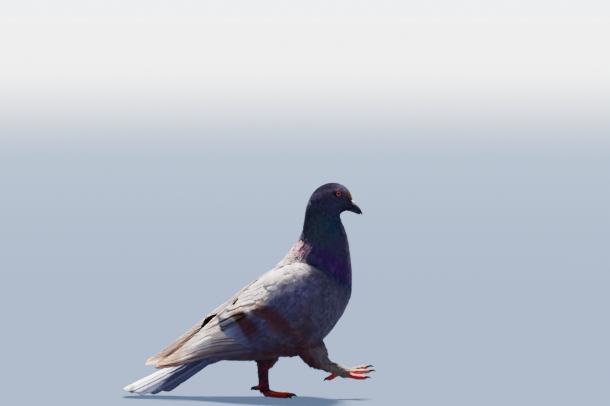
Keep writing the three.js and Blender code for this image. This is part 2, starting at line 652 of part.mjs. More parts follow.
const LEGS = [STANDING, LIFTED];
const TOE_SWELL = 0.35; // how far the scutes and pads stand out from a toe's bones
const shankOf = (leg, grow = 0) => limb(leg.shank, { sides: 11, samples: 9, grow });
const thighOf = (leg, grow = 0) => limb(leg.thigh, { sides: 12, samples: 7, grow });
const toeOf = (leg, toe, grow = 0) =>
  limb(leg.toes[toe], { sides: 7, samples: 7, grow: grow + TOE_SWELL, ripple: 0.06, waves: 3 });
const aboveFloor = (made) => made.trimByPlane([0, 0, 1], 0);

// Each toe is cut back from the toes before it, so that they meet face to face over the ball.
function makeToes(leg) {
  const made = {};
  let taken = shankOf(leg, GAP);
  for (const toe of ["middle", "inner", "outer", "hallux"]) {
    made[toe] = aboveFloor(toeOf(leg, toe).subtract(taken));
    taken = taken.add(toeOf(leg, toe, GAP));
  }
  return made;
}

// ---------------------------------------------------------------------------------------------
// Materials and assembly

const finish = (color, roughness) => new THREE.MeshStandardMaterial({ color, roughness });
const MATERIALS = {
  neck: finish(0x2c3548, 0.45),
  body: finish(0x5a5763, 0.8),
  wing: finish(0xb9b2ba, 0.75),
  tail: finish(0xd6d3dc, 0.75),
  leg: finish(0x4b4349, 0.85),
  toe: finish(0xb8392e, 0.55),
  claw: finish(0x1b1a1d, 0.35),
  bill: finish(0x17171c, 0.35),
  cere: finish(0xd9d2cf, 0.6),
  eye: finish(0xd2622a, 0.1),
};

const pigeon = new THREE.Group();

function addNode(name, made, material) {
  const mesh = largest(made).getMesh();
  const geometry = new THREE.BufferGeometry();
  geometry.setAttribute("position", new THREE.BufferAttribute(mesh.vertProperties, 3));
  geometry.setIndex(new THREE.BufferAttribute(mesh.triVerts, 1));
  geometry.computeVertexNormals();
  const node = new THREE.Mesh(geometry, material);
  node.name = name;
  pigeon.add(node);
}

const torso = beyond(wholeBody, NECK_ROOT, -1);
const neck = beyond(beyond(wholeBody, NECK_ROOT, 1), HEAD_ROOT, -1);
addNode("torso", torso, MATERIALS.body);
addNode("neck", neck, MATERIALS.neck);
addNode("head", makeHead(), MATERIALS.neck);
addNode("bill_upper", makeUpperBill(), MATERIALS.bill);
addNode("bill_lower", lowerBill(), MATERIALS.bill);
addNode("cere", makeCere(), MATERIALS.cere);
addNode("tail", makeTail().subtract(bodyRoom), MATERIALS.tail);
for (const [side, name] of [[LEFT, "left"], [RIGHT, "right"]]) {
  addNode("eye_" + name, eyeBall(side), MATERIALS.eye);
  addNode("wing_" + name, makeWing(side), MATERIALS.wing);
}
for (const [leg, name] of [[STANDING, "left"], [LIFTED, "right"]]) {
  const room = join([bodyRoom, shankOf(leg, GAP)]);
  addNode("thigh_" + name, thighOf(leg).subtract(room), MATERIALS.leg);
  addNode("shank_" + name, aboveFloor(shankOf(leg)), MATERIALS.leg);
  const toes = makeToes(leg);
  for (const [toe, made] of Object.entries(toes)) {
    addNode("toe_" + toe + "_" + name, made, MATERIALS.toe);
    const claw = limb(leg.claws[toe], { sides: 6, samples: 4 }).subtract(toeOf(leg, toe, GAP));
    addNode("claw_" + toe + "_" + name, aboveFloor(claw), MATERIALS.claw);
  }
}

export default pigeon;
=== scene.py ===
# A feral pigeon in mid-stride, life size, as a still museum model.
# The scene is in metres. Shapes are worked out in millimetres, +X forwards, +Y the bird's left, +Z up.

import json
import math

import bmesh
import bpy
import numpy as np
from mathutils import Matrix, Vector, kdtree

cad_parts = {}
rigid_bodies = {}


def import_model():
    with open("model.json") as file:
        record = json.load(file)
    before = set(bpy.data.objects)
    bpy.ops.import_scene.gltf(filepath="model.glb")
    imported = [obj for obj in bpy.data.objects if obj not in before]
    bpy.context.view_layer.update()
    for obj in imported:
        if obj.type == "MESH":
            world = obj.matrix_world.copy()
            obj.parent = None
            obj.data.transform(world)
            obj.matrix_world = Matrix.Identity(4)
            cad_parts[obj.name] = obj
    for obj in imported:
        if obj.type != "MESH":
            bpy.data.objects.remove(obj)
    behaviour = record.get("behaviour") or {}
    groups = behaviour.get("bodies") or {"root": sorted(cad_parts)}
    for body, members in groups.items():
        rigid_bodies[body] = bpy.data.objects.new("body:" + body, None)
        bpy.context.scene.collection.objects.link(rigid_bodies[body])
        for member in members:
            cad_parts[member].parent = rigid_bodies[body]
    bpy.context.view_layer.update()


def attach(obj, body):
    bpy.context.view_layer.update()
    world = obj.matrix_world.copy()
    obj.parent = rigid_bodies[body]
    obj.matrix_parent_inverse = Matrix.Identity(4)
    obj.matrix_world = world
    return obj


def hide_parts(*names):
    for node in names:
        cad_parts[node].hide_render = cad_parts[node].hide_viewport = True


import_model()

# ---------------------------------------------------------------------------------------------
# Skin: the bird's own hide, one closed surface over body, neck, head, folded arms, tail root and
# legs. It is lofted from the bird's outline, run together without a seam, and carries the lie and
# the length of the feathers that grow on it.

MM = 0.001
LEFT, RIGHT = 1, -1

# From the tail's root to the bill's: upper x, z, lower x, z, half width, level of the widest line.
BODY = [
    (-74, 62, -66, 45, 7, 0),
    (-60, 74, -50, 41, 15, 0.1),
    (-42, 88, -30, 39.5, 24, 0.1),
    (-24, 104, -8, 40.5, 29.5, 0.1),
    (-8, 121, 14, 43.5, 31.5, 0.05),
    (6, 136, 37.5, 47, 31, 0),
    (17, 148, 60, 64, 29.5, -0.05),
    (26, 159.5, 77, 86, 27, -0.1),
    (32.5, 169, 87, 108, 24.5, -0.1),
    (36.5, 178, 88.6, 129, 22, -0.1),
    (38.2, 187, 87, 150, 19.2, -0.05),
    (39.8, 196, 83.5, 170.5, 16.8, 0),
    (41.6, 205, 77.6, 187, 15, 0),
    (45.2, 214.4, 76.6, 194.2, 14.2, 0),
    (53, 222.9, 79, 197, 13.4, -0.05),
    (62.5, 227.5, 82, 198.2, 12.6, -0.1),
    (72.4, 228, 84.5, 198.6, 11.4, -0.15),
    (81, 224.5, 87, 198.8, 9.4, -0.2),
    (86.6, 218, 89, 199, 7, -0.2),
    (89, 211, 90.4, 199.4, 4.6, -0.1),
]
TAIL_ROOT = [
    (-40, 70, -36, 42, 12, 0),
    (-58, 61, -56, 37, 12.5, 0),
    (-76, 50.5, -76, 32, 11, 0),
    (-92, 40.5, -94, 31, 6, 0),
    (-103, 34, -104, 31.5, 1.5, 0),
]
# Limbs: x, y, z, half width, half height.
THIGHS = {
    LEFT: [(9, 13, 66, 13, 16), (3, 11, 52, 11, 13), (-1.6, 8, 42, 8, 11), (-4, 5.6, 35, 5, 7.6),
           (-5, 4.4, 30, 3.2, 4.6)],
    RIGHT: [(36, -15, 72, 12, 17), (45.8, -15, 56, 10.5, 15), (51.6, -14, 44.8, 8.4, 11.2),
            (58.6, -13, 38.2, 6, 6.4), (64, -12.6, 34.6, 4, 4.6)],
}
SHANKS = {
    LEFT: [(-4.9, 4, 33, 3, 4.3), (-5.2, 3, 24, 3, 4.6), (-4.8, 2, 15, 3.1, 4.6),
           (-3.8, 1.4, 8, 4, 4.4), (-0.6, 1, 3.1, 4.8, 4.4), (4, 0.8, 2.2, 4.6, 2.6)],
    RIGHT: [(61, -12.8, 36, 4, 4.6), (68, -12.4, 32.6, 3.7, 4.8), (75, -12, 29.8, 3.6, 5),
            (81, -12, 27.6, 4.2, 5), (86, -12, 26.8, 4.6, 3.8)],
}
# Wing, from the shoulder to its tip: lower x, z, upper x, z, and the least distance from the
# mid-plane at the lower and at the upper edge.
WING = [
    (75, 92, 75, 124, 14, 12),
    (61, 69, 62, 139, 18, 10),
    (41, 58.5, 38, 148, 20, 5),
    (18, 53, 10, 139, 22, 3),
    (-6, 46.5, -13, 121, 22, 2),
    (-30, 41, -36, 102, 21.5, 1.5),
    (-55, 37.5, -60, 82, 20.5, 2),
    (-81, 34.5, -84, 60, 18.5, 3.5),
    (-104, 32.5, -105, 43.5, 15.5, 7),
    (-122, 31, -122, 34, 11, 9),
]
WING_ROWS = 8
WING_BOW = 3 / 22  # how far the sheet bows out between its edges, as a share of its distance
WING_GAP, WING_BLEND = 0.8, 3  # how far it stays off the body, and how softly it meets that
ARM_SWELL = 5.5
ARM_STOPS = np.array([0, 0.04, 0.1, 0.18, 0.26, 0.34, 0.42, 0.5])
ARM_ROWS = 15
SLOPE_STEP = 0.004
RISE = {LEFT: 2, RIGHT: 0}  # the left wing is carried a little higher
BACK = {LEFT: 13, RIGHT: 0}  # and reaches further back


def lerp(a, b, t):
    return a + (b - a) * t


def smoothstep(x, low, high):
    t = np.clip((np.asarray(x, float) - low) / (high - low), 0, 1)
    return t * t * (3 - 2 * t)


def unit(vectors):
    return vectors / np.maximum(np.linalg.norm(vectors, axis=-1, keepdims=True), 1e-9)


def dot(a, b):
    return (a * b).sum(axis=-1, keepdims=True)


# Catmull-Rom through evenly spaced rows of values, going straight on past both ends. With each
# set, every place has its own row of values.
def spline(values, t, each=False):
    values = np.asarray(values, float)
    values = values.T if each else values
    last = len(values) - 1
    place = np.asarray(t, float) * last
    i = np.clip(np.floor(place).astype(int), 0, last - 1)
    picked = (np.arange(len(place)),) if each else ()
    a, b, c, d = (values[(np.clip(i + k, 0, last), *picked)] for k in (-1, 0, 1, 2))
    shape = (-1,) + (1,) * (b.ndim - 1)
    f = np.clip(place - i, 0, 1).reshape(shape)
    low = np.minimum(place, 0).reshape(shape)
    high = np.maximum(place - last, 0).reshape(shape)
    curve = b + 0.5 * f * (c - a + f * (2 * a - 5 * b + 4 * c - d + f * (3 * b - a - 3 * c + d)))
    return curve + low * (c - b) + high * (c - b)


def pairs(first, second):
    a, b = np.meshgrid(first, second, indexing="ij")
    return a.ravel(), b.ravel()


# Points of a form given by its outline from the side, angle 0 at its upper edge.
def profile_at(stations, t, angle, grow=0.0):
    s = spline(stations, t)
    upper, lower, half, widest = s[:, :2], s[:, 2:4], np.maximum(s[:, 4], 0.05), s[:, 5]
    reach = (upper - lower) / 2
    size = np.linalg.norm(reach, axis=1)
    reach = reach * np.maximum((size + grow) / size, 0.1)[:, None]
    across = np.sin(angle)
    level = np.cos(angle) + widest * across**2
    centre = (upper + lower) / 2
    x, z = (centre + reach * level[:, None]).T
    return np.stack([x, np.maximum(half + grow, 0.3) * across, z], axis=1)


# Points of a limb along a path, its height kept square to the path.
def limb_at(path, t, angle, grow=0.0):
    path = np.array(path, float)
    s = spline(path, t)
    ahead = unit(spline(path[:, :3], t + 0.01) - spline(path[:, :3], t - 0.01))
    across = np.stack([-ahead[:, 1], ahead[:, 0], 0 * t], axis=1)
    across[np.linalg.norm(across, axis=1) < 0.2] = (0, 1, 0)
    across = unit(across)
    above = np.cross(ahead, across)
    width = (s[:, 3] + grow) * np.cos(angle)
    height = (s[:, 4] + grow) * np.sin(angle)
    return s[:, :3] + across * width[:, None] + above * height[:, None]


# Rings of points round such a form, grown by what grow says for each place and angle.
def ringed(form_at, form, rings, sides, grow=lambda t, angle: 0.0 * t):
    t, angle = pairs(np.linspace(0, 1, rings), 2 * np.pi * np.arange(sides) / sides)
    return form_at(form, t, angle, grow(t, angle)).reshape(rings, sides, 3)


# Half width of the body at each place of the side view, nothing beside the body.
def body_half(x, z):
    t = np.linspace(0, 1, 161)
    s = spline(BODY, t)
    upper, lower = s[:, :2], s[:, 2:4]
    span = upper - lower
    found = np.zeros(len(x))
    for k, spot in enumerate(np.stack([x, z], axis=1)):
        off = spot - lower
        cross = span[:, 0] * off[:, 1] - span[:, 1] * off[:, 0]
        share = (off * span).sum(1) / (span**2).sum(1)
        turned = np.sign(cross[1:]) != np.sign(cross[:-1])
        hits = np.flatnonzero(turned & (share[1:] > 0) & (share[1:] < 1))
        if len(hits):
            i = hits[0] + 1
            up = 2 * share[i] - 1
            level = up - s[i, 5] * (1 - up * up)
            found[k] = s[i, 4] * math.sqrt(max(0, 1 - level * level))
    return found


def wing_out():
    """How far out the wing's sheet lies at each station, row by row, always clear of the body."""
    stations = np.array(WING, float)
    rows = []
    for v in np.arange(WING_ROWS + 1) / WING_ROWS:
        low, high = stations[:, 4], stations[:, 5]
        least = lerp(low, high, v) + WING_BOW * math.sin(math.pi * v) * low
        x = lerp(stations[:, 0], stations[:, 2], v)
        over = body_half(x, lerp(stations[:, 1], stations[:, 3], v)) + WING_GAP
        rows.append(0.5 * (least + over + np.hypot(least - over, WING_BLEND)))
    return np.stack(rows, axis=1)


WING_OUT = wing_out()


def arm_swell(u, v):
    span = smoothstep(u, 0.0, 0.2) * (1 - smoothstep(u, 0.18, 0.5))
    across = np.sqrt(np.maximum(0, 1 - (2 * np.clip(v, 0, 1) - 1) ** 4))
    return ARM_SWELL * span * across


# A sheet is a curved surface that feathers lie on: its points, and the sign that turns its normal
# outwards.
def wing_sheet(side):
    def at(u, v):
        s = spline(WING, u)
        out = spline(spline(WING_OUT, u), v, each=True)
        loose = smoothstep(u, 0.35, 0.95)
        raised = smoothstep(u, 0.3, 0.5) * (1 - 2 * np.maximum(0, u - 0.75))
        x = lerp(s[:, 0], s[:, 2], v) - BACK[side] * loose
        z = lerp(s[:, 1], s[:, 3], v) + RISE[side] * raised
        return np.stack([x, side * (out + arm_swell(u, v)), z], axis=1)

    return at, side


def slopes(at, u, v):
    along = at(u + SLOPE_STEP, v) - at(u - SLOPE_STEP, v)
    across = at(u, v + SLOPE_STEP) - at(u, v - SLOPE_STEP)
    return along / (2 * SLOPE_STEP), across / (2 * SLOPE_STEP)


def on_sheet(sheet, u, v, out=0.0):
    at, sign = sheet
    slope_u, slope_v = slopes(at, u, v)
    normal = unit(np.cross(slope_u, slope_v)) * sign
    place = at(u, v) + normal * np.broadcast_to(out, u.shape)[:, None]
    return place, slope_u, slope_v, normal


# Where a place of the side view lies on the resting wing's sheet.
def wing_place(x, z):
    u = np.linspace(0, 1, 301)
    at, _ = wing_sheet(RIGHT)
    low, high = at(u, 0 * u)[:, ::2], at(u, 0 * u + 1)[:, ::2]
    span = high - low
    off = np.array([x, z]) - low
    v = (off * span).sum(1) / (span**2).sum(1)
    miss = np.linalg.norm(off - v[:, None] * span, axis=1)
    best = miss.argmin()
    return u[best], v[best]


# The flesh of the arm, thick in front and thinning out under the flight feathers.
def arm_rings(side):
    u, v = pairs(ARM_STOPS, np.linspace(0.03, 0.97, ARM_ROWS))
    mantle = smoothstep(v, 0.5, 0.75) * smoothstep(u, 0.08, 0.2) * (1 - smoothstep(u, 0.4, 0.5))
    round_off = np.sqrt(np.maximum(0, 1 - (2 * (v - 0.03) / 0.94 - 1) ** 4))
    height = np.interp(u, [0, 0.04, 0.1, 0.22, 0.34, 0.5], [-3.5, -1.2, 1.2, 2.6, 0.6, -0.4])
    height = height + 1.9 * mantle
    flesh = 1.4 + arm_swell(u, v) + 2 * round_off * (1 - smoothstep(u, 0.15, 0.45))
    depths = ((height + 0.5) * round_off - 0.5, -0.5 - (flesh - 0.5) * (0.2 + 0.8 * round_off))
    outer, inner = (on_sheet(wing_sheet(side), u, v, depth)[0].reshape(len(ARM_STOPS), ARM_ROWS, 3)
                    for depth in depths)
    return np.concatenate([outer, inner[:, ::-1]], axis=1)


# Rings of equally many points as one closed tube.
def tube(rings):
    count, sides = rings.shape[:2]
    r, k = pairs(np.arange(count - 1), np.arange(sides))
    a, b = r * sides + k, r * sides + (k + 1) % sides
    faces = np.stack([a, b, b + sides, a + sides], axis=1).tolist()
    faces.append(list(range(sides))[::-1])
    faces.append(list(range((count - 1) * sides, count * sides)))
    return rings.reshape(-1, 3), faces


def merged(parts):
    verts, faces, start = [], [], 0
    for points, polygons in parts:
        verts.append(points)
        faces += [[start + i for i in polygon] for polygon in polygons]
        start += len(points)
    return np.concatenate(verts), faces


def outward(mesh):
    """The mesh with all its faces turned outwards."""
    work = bmesh.new()
    work.from_mesh(mesh)
    bmesh.ops.recalc_face_normals(work, faces=work.faces)
    work.to_mesh(mesh)
    work.free()


def linked(name, data):
    made = bpy.data.objects.new(name, data)
    bpy.context.collection.objects.link(made)
    return made


def made_object(name, verts, faces, flip_to_outside=True):
    """A smooth mesh object in metres, from points in millimetres."""
    mesh = bpy.data.meshes.new(name)
    mesh.from_pydata((np.asarray(verts) * MM).tolist(), [], faces)
    if flip_to_outside:
        outward(mesh)
    mesh.shade_smooth()
    return linked(name, mesh)


def settled(obj):
    """The object with its modifiers worked into a plain mesh."""
    mesh = bpy.data.meshes.new_from_object(obj.evaluated_get(bpy.context.evaluated_depsgraph_get()))
    obj.modifiers.clear()
    obj.data = mesh
    mesh.shade_smooth()
    return obj


def remeshed(obj, voxel, factor, rounds):
    """The object's closed forms run together into one smoothed surface."""
    remesh = obj.modifiers.new("one surface", "REMESH")
    remesh.mode = "VOXEL"
    remesh.voxel_size = voxel * MM
    smooth = obj.modifiers.new("smooth", "SMOOTH")
    smooth.factor = factor
    smooth.iterations = rounds
    return settled(obj)


# How far the skin lies under the outline, where the feathers' thickness makes up the rest.
def coat_depth(t, angle):
    return -np.interp(t, [0, 0.4, 0.6, 0.72, 1], [2.0, 2.0, 1.2, 0.6, 0.4])


def hide():
    """The body, the tail's root, and each side's thigh, shank and arm, as closed forms in one mesh."""
    rings = [ringed(profile_at, BODY, 120, 64, coat_depth),
             ringed(profile_at, TAIL_ROOT, 40, 36, lambda t, angle: -2.0 + 0 * t)]
    for side in (LEFT, RIGHT):
        rings += [ringed(limb_at, THIGHS[side], 36, 32, lambda t, angle: -1.5 + 0.6 * t),
                  ringed(limb_at, SHANKS[side], 50, 28, lambda t, angle: -0.7 + 0.5 * t),
                  arm_rings(side)]
    return made_object("skin", *merged([tube(form) for form in rings]))


skin = remeshed(hide(), voxel=0.95, factor=0.6, rounds=5)


def read(data, item, width):
    values = np.empty(len(data) * width, np.float32)
    data.foreach_get(item, values)
    return values.reshape(-1, width).astype(float) if width > 1 else values.astype(float)


def write(mesh, name, values):
    kind, item = ("FLOAT_VECTOR", "vector") if values.ndim == 2 else ("FLOAT", "value")
    made = mesh.attributes.new(name, kind, "POINT")
    made.data.foreach_set(item, np.ascontiguousarray(values, np.float32).ravel())


# Guides: sample points all over the bird. Each knows which part it is of, how far along that part
# it lies, which way feathers lie there, and its place on a flat unwrap of the skin's own shape.
PART_NAMES = ("body", "tail_root", "wing", "thigh", "shank")
TILES = {  # x, y, width and height of each part on the unwrap
    ("body", 0): (0.01, 0.42, 0.98, 0.57),
    ("tail_root", 0): (0.01, 0.31, 0.3, 0.1),
    ("wing", LEFT): (0.33, 0.21, 0.32, 0.2),
    ("wing", RIGHT): (0.67, 0.21, 0.32, 0.2),
    ("thigh", LEFT): (0.01, 0.01, 0.23, 0.19),
    ("thigh", RIGHT): (0.26, 0.01, 0.23, 0.19),
    ("shank", LEFT): (0.51, 0.01, 0.23, 0.19),
    ("shank", RIGHT): (0.76, 0.01, 0.23, 0.19),
}


def guide(part, side, at, along_range, around, lie_sign):
    """Guides over one part, whose points are at(along, around) with both from 0 to 1."""
    along, across = pairs(along_range, around)
    slope_along, slope_across = slopes(at, along, across)
    x, y, width, height = TILES[part, side]
    return {
        "place": at(along, across),
        "lie": unit(slope_along) * lie_sign,
        "part": np.full(len(along), PART_NAMES.index(part)),
        "along": along,
        "across": across,
        "flat": np.stack([x + across * width, y + along * height], axis=1),
        "slope_x": slope_across / width,
        "slope_y": slope_along / height,
    }


def all_guides():
    ring = np.arange(56) / 56
    turn = 2 * np.pi
    found = [guide("body", 0, lambda t, a: profile_at(BODY, t, a * turn),
                   np.linspace(0, 1, 150), ring, -1),
             guide("tail_root", 0, lambda t, a: profile_at(TAIL_ROOT, t, a * turn),
                   np.linspace(0.1, 1, 40), ring, 1)]
    for side in (LEFT, RIGHT):
        at, _ = wing_sheet(side)
        found.append(guide("wing", side, at, np.linspace(-0.02, 0.6, 70), np.linspace(0, 1, 40), 1))
        for part, paths in (("thigh", THIGHS), ("shank", SHANKS)):
            path = paths[side]
            found.append(guide(part, side, lambda t, a, path=path: limb_at(path, t, a * turn),
                               np.linspace(0, 1, 40), ring[::2], 1))
    return {key: np.concatenate([g[key] for g in found]) for key in found[0]}


def tree_of(places):
    tree = kdtree.KDTree(len(places))
    for number, place in enumerate(places):
        tree.insert(place, number)
    tree.balance()
    return tree


guides = all_guides()
guide_tree = tree_of(guides["place"])


def nearest_guides(places):
    return np.array([guide_tree.find(p)[1] for p in places.tolist()])


def flat_places(places):
    """Places on the skin as places on its unwrap."""
    near = nearest_guides(places)
    off = places - guides["place"][near]
    flat = guides["flat"][near].copy()
    for axis, key in enumerate(("slope_x", "slope_y")):
        slope = guides[key][near]
        flat[:, axis] += ((off * slope).sum(1) / (slope**2).sum(1)).clip(-0.01, 0.01)
    return flat


EYE = {"place": (73.9, 8.5, 216.9), "radius": 4.3, "facing": (0.2, 1, 0.05)}
BILL_ROOT = (87.5, 0, 205.5)
BARE_EYE, BARE_BILL = 5.2, 4.2  # how far bare skin reaches round the eye and the root of the bill


def eye_reach(places):
    """How far places lie from the middle of the nearer eye, seen along the way it faces."""
    off = np.array(places)
    off[:, 1] = np.abs(off[:, 1])
    off = off - EYE["place"]
    facing = unit(np.array(EYE["facing"], float))
    return np.linalg.norm(off - dot(off, facing) * facing, axis=1)


def spreader(mesh):
    """A function that evens values out over a mesh, each point with its neighbours."""
    edges = np.empty(len(mesh.edges) * 2, np.int32)
    mesh.edges.foreach_get("vertices", edges)
    edges = edges.reshape(-1, 2)
    both = np.concatenate([edges, edges[:, ::-1]])
    size = len(mesh.vertices)
    count = np.bincount(both[:, 0], minlength=size)[:, None]

    def spread(values, rounds, where=1.0):
        for _ in range(rounds):
            total = np.stack([np.bincount(both[:, 0], values[both[:, 1], k], size)
                              for k in range(values.shape[1])], axis=1)
            values = values + 0.6 * where * (total / count - values)
        return values

    return spread


TUCK_ROUNDS = 160
SKIN_FLOOR = 0.2  # the lowest that the skin of a sole may reach


def tuck_shoulders(mesh):
    """The breast runs over the bend of the wing and the thighs run into the belly without a step."""
    places = read(mesh.vertices, "co", 3) / MM
    x, y, z = places.T
    bend = smoothstep(x, 40, 54) * smoothstep(np.abs(y), 4, 11)
    bend = bend * smoothstep(z, 50, 60) * smoothstep(z, 162, 148)
    places = spreader(mesh)(places, TUCK_ROUNDS, bend[:, None])
    places[:, 2] = np.maximum(places[:, 2], SKIN_FLOOR)
    mesh.vertices.foreach_set("co", np.ascontiguousarray(places * MM, np.float32).ravel())
    mesh.update()


tuck_shoulders(skin.data)


# Length of the feathers along each part, in millimetres.
FEATHER_LENGTHS = {
    "body": ([0, 0.1, 0.3, 0.42, 0.5, 0.6, 0.68, 0.8, 0.92, 1], [14, 13, 12, 11, 9, 7.4, 5, 4, 2.8, 1.8]),
    "tail_root": ([0, 0.5, 1], [14, 17, 18]),
    "wing": ([0, 0.1, 0.2, 0.6], [8.5, 9, 11, 14]),
    "thigh": ([0, 1], [12, 8]),
    "shank": ([0, 0.3, 1], [6.5, 4.4, 2.6]),
}


def lay_out_skin(mesh):
    """The skin's attributes: how feathers lie and grow, their length, and where each coat grows."""
    places = read(mesh.vertices, "co", 3) / MM
    normals = read(mesh.vertices, "normal", 3)
    x, y, z = places.T
    near = nearest_guides(places)
    along, across = guides["along"][near], guides["across"][near]
    is_part = {name: guides["part"][near] == number for number, name in enumerate(PART_NAMES)}
    spread = spreader(mesh)
    lie = spread(guides["lie"][near], 50)
    grow = unit(spread(normals, 3))
    lie = unit(lie - dot(lie, grow) * grow)
    length = np.zeros(len(places))
    for name, (stops, sizes) in FEATHER_LENGTHS.items():
        length[is_part[name]] = np.interp(along[is_part[name]], stops, sizes)
    length = spread(length[:, None], 12)[:, 0]
    body, wing, covered = is_part["body"], is_part["wing"], under_wing(places)
    bare_eye = (eye_reach(places) < BARE_EYE) & (np.abs(y) > 7) & (z > 208)
    bare_bill = np.linalg.norm(places - np.array(BILL_ROOT), axis=1) < BARE_BILL
    head, torso = smoothstep(along, 0.645, 0.67), 1 - smoothstep(along, 0.43, 0.46)
    neck = (1 - head) * smoothstep(along, 0.43, 0.46)
    upper = smoothstep(z - torso_level(x), -4, 4)
    trunk = ((body & ~covered) | (wing & (along < 0.1))) * torso
    below = smoothstep(-normals[:, 2], 0.25, 0.65) * (x < 62)
    outer_wing = wing & (normals[:, 1] * np.sign(y) > -0.35)
    wing_end = 0.36 + 0.1 * smoothstep(across, 0.45, 0.65)
    tucked_in = (np.abs(y) > 17) & (z > np.where(y > 0, 46, 60))
    above_foot = np.where(x > 40, x < 88, z > 7)
    covers = {
        "cover_head": body * head * (~bare_eye & ~bare_bill),
        "cover_neck": body * neck,
        "cover_breast": trunk * (1 - upper),
        "cover_back": trunk * upper,
        "cover_belly": body * torso * below * ~covered,
        "cover_wing": outer_wing * (along < wing_end) * (along > 0.07),
        "cover_thighs": is_part["thigh"] * ~tucked_in,
        "cover_legs": (is_part["shank"] & above_foot) * 1.0,
        "cover_tail": is_part["tail_root"] * (x < -50) * ~covered,
    }
    for name, values in (("lie", lie), ("grow", grow), ("feather_length", length)):
        write(mesh, name, values)
    for name, cover in covers.items():
        write(mesh, name, spread(np.asarray(cover, float)[:, None], 2)[:, 0])


def torso_level(x):
    """Height of the line along the flank that parts back from belly."""
    return np.interp(x, [-70, -30, 20, 60, 90], [52, 66, 92, 118, 135])


def under_wing(places):
    """Which places lie hidden between the body and a folded wing."""
    hidden = np.zeros(len(places), bool)
    for side in (LEFT, RIGHT):
        u, v = pairs(np.linspace(0.14, 0.92, 60), np.linspace(0.06, 0.94, 30))
        tree = tree_of(wing_sheet(side)[0](u, v))
        for i in np.flatnonzero(places[:, 1] * side > 0):
            found, _, reach = tree.find(places[i])
            hidden[i] = reach < 6 and abs(places[i, 1]) < abs(found[1]) - 1
    return hidden


lay_out_skin(skin.data)


# Shader maths: a socket that adds Math nodes when it is used in an expression.
class Value:
    def __init__(self, finish, socket):
        self.finish, self.socket = finish, socket

    def math(self, operation, *others):
        inputs = dict(enumerate((self, *others)))
        return self.finish.node("ShaderNodeMath", {"operation": operation}, inputs)

    def __add__(self, other):
        return self.math("ADD", other)

    def __sub__(self, other):
        return self.math("SUBTRACT", other)

    def __rsub__(self, other):
        return self.finish.node("ShaderNodeMath", {"operation": "SUBTRACT"}, {0: other, 1: self})

    def __mul__(self, other):
        return self.math("MULTIPLY", other)

    __radd__, __rmul__ = __add__, __mul__

    def absolute(self):
        return self.math("ABSOLUTE")

    def most(self, other):
        return self.math("MAXIMUM", other)

    # Another draw from 0 to 1 out of this one.
    def redrawn(self, times):
        return (self * times).math("FRACT")

    # A smooth step from 0 at one value to 1 at another, also downwards.
    def step(self, start, end):
        first, last = (1.0, 0.0) if start > end else (0.0, 1.0)
        inputs = {"Value": self, "From Min": min(start, end), "From Max": max(start, end),
                  "To Min": first, "To Max": last}
        return self.finish.node("ShaderNodeMapRange", {"interpolation_type": "SMOOTHSTEP"}, inputs)

    # 1 at a value, gone as far from it as the reach.
    def near(self, value, reach, full):
        return (self - value).absolute().step(reach, full)


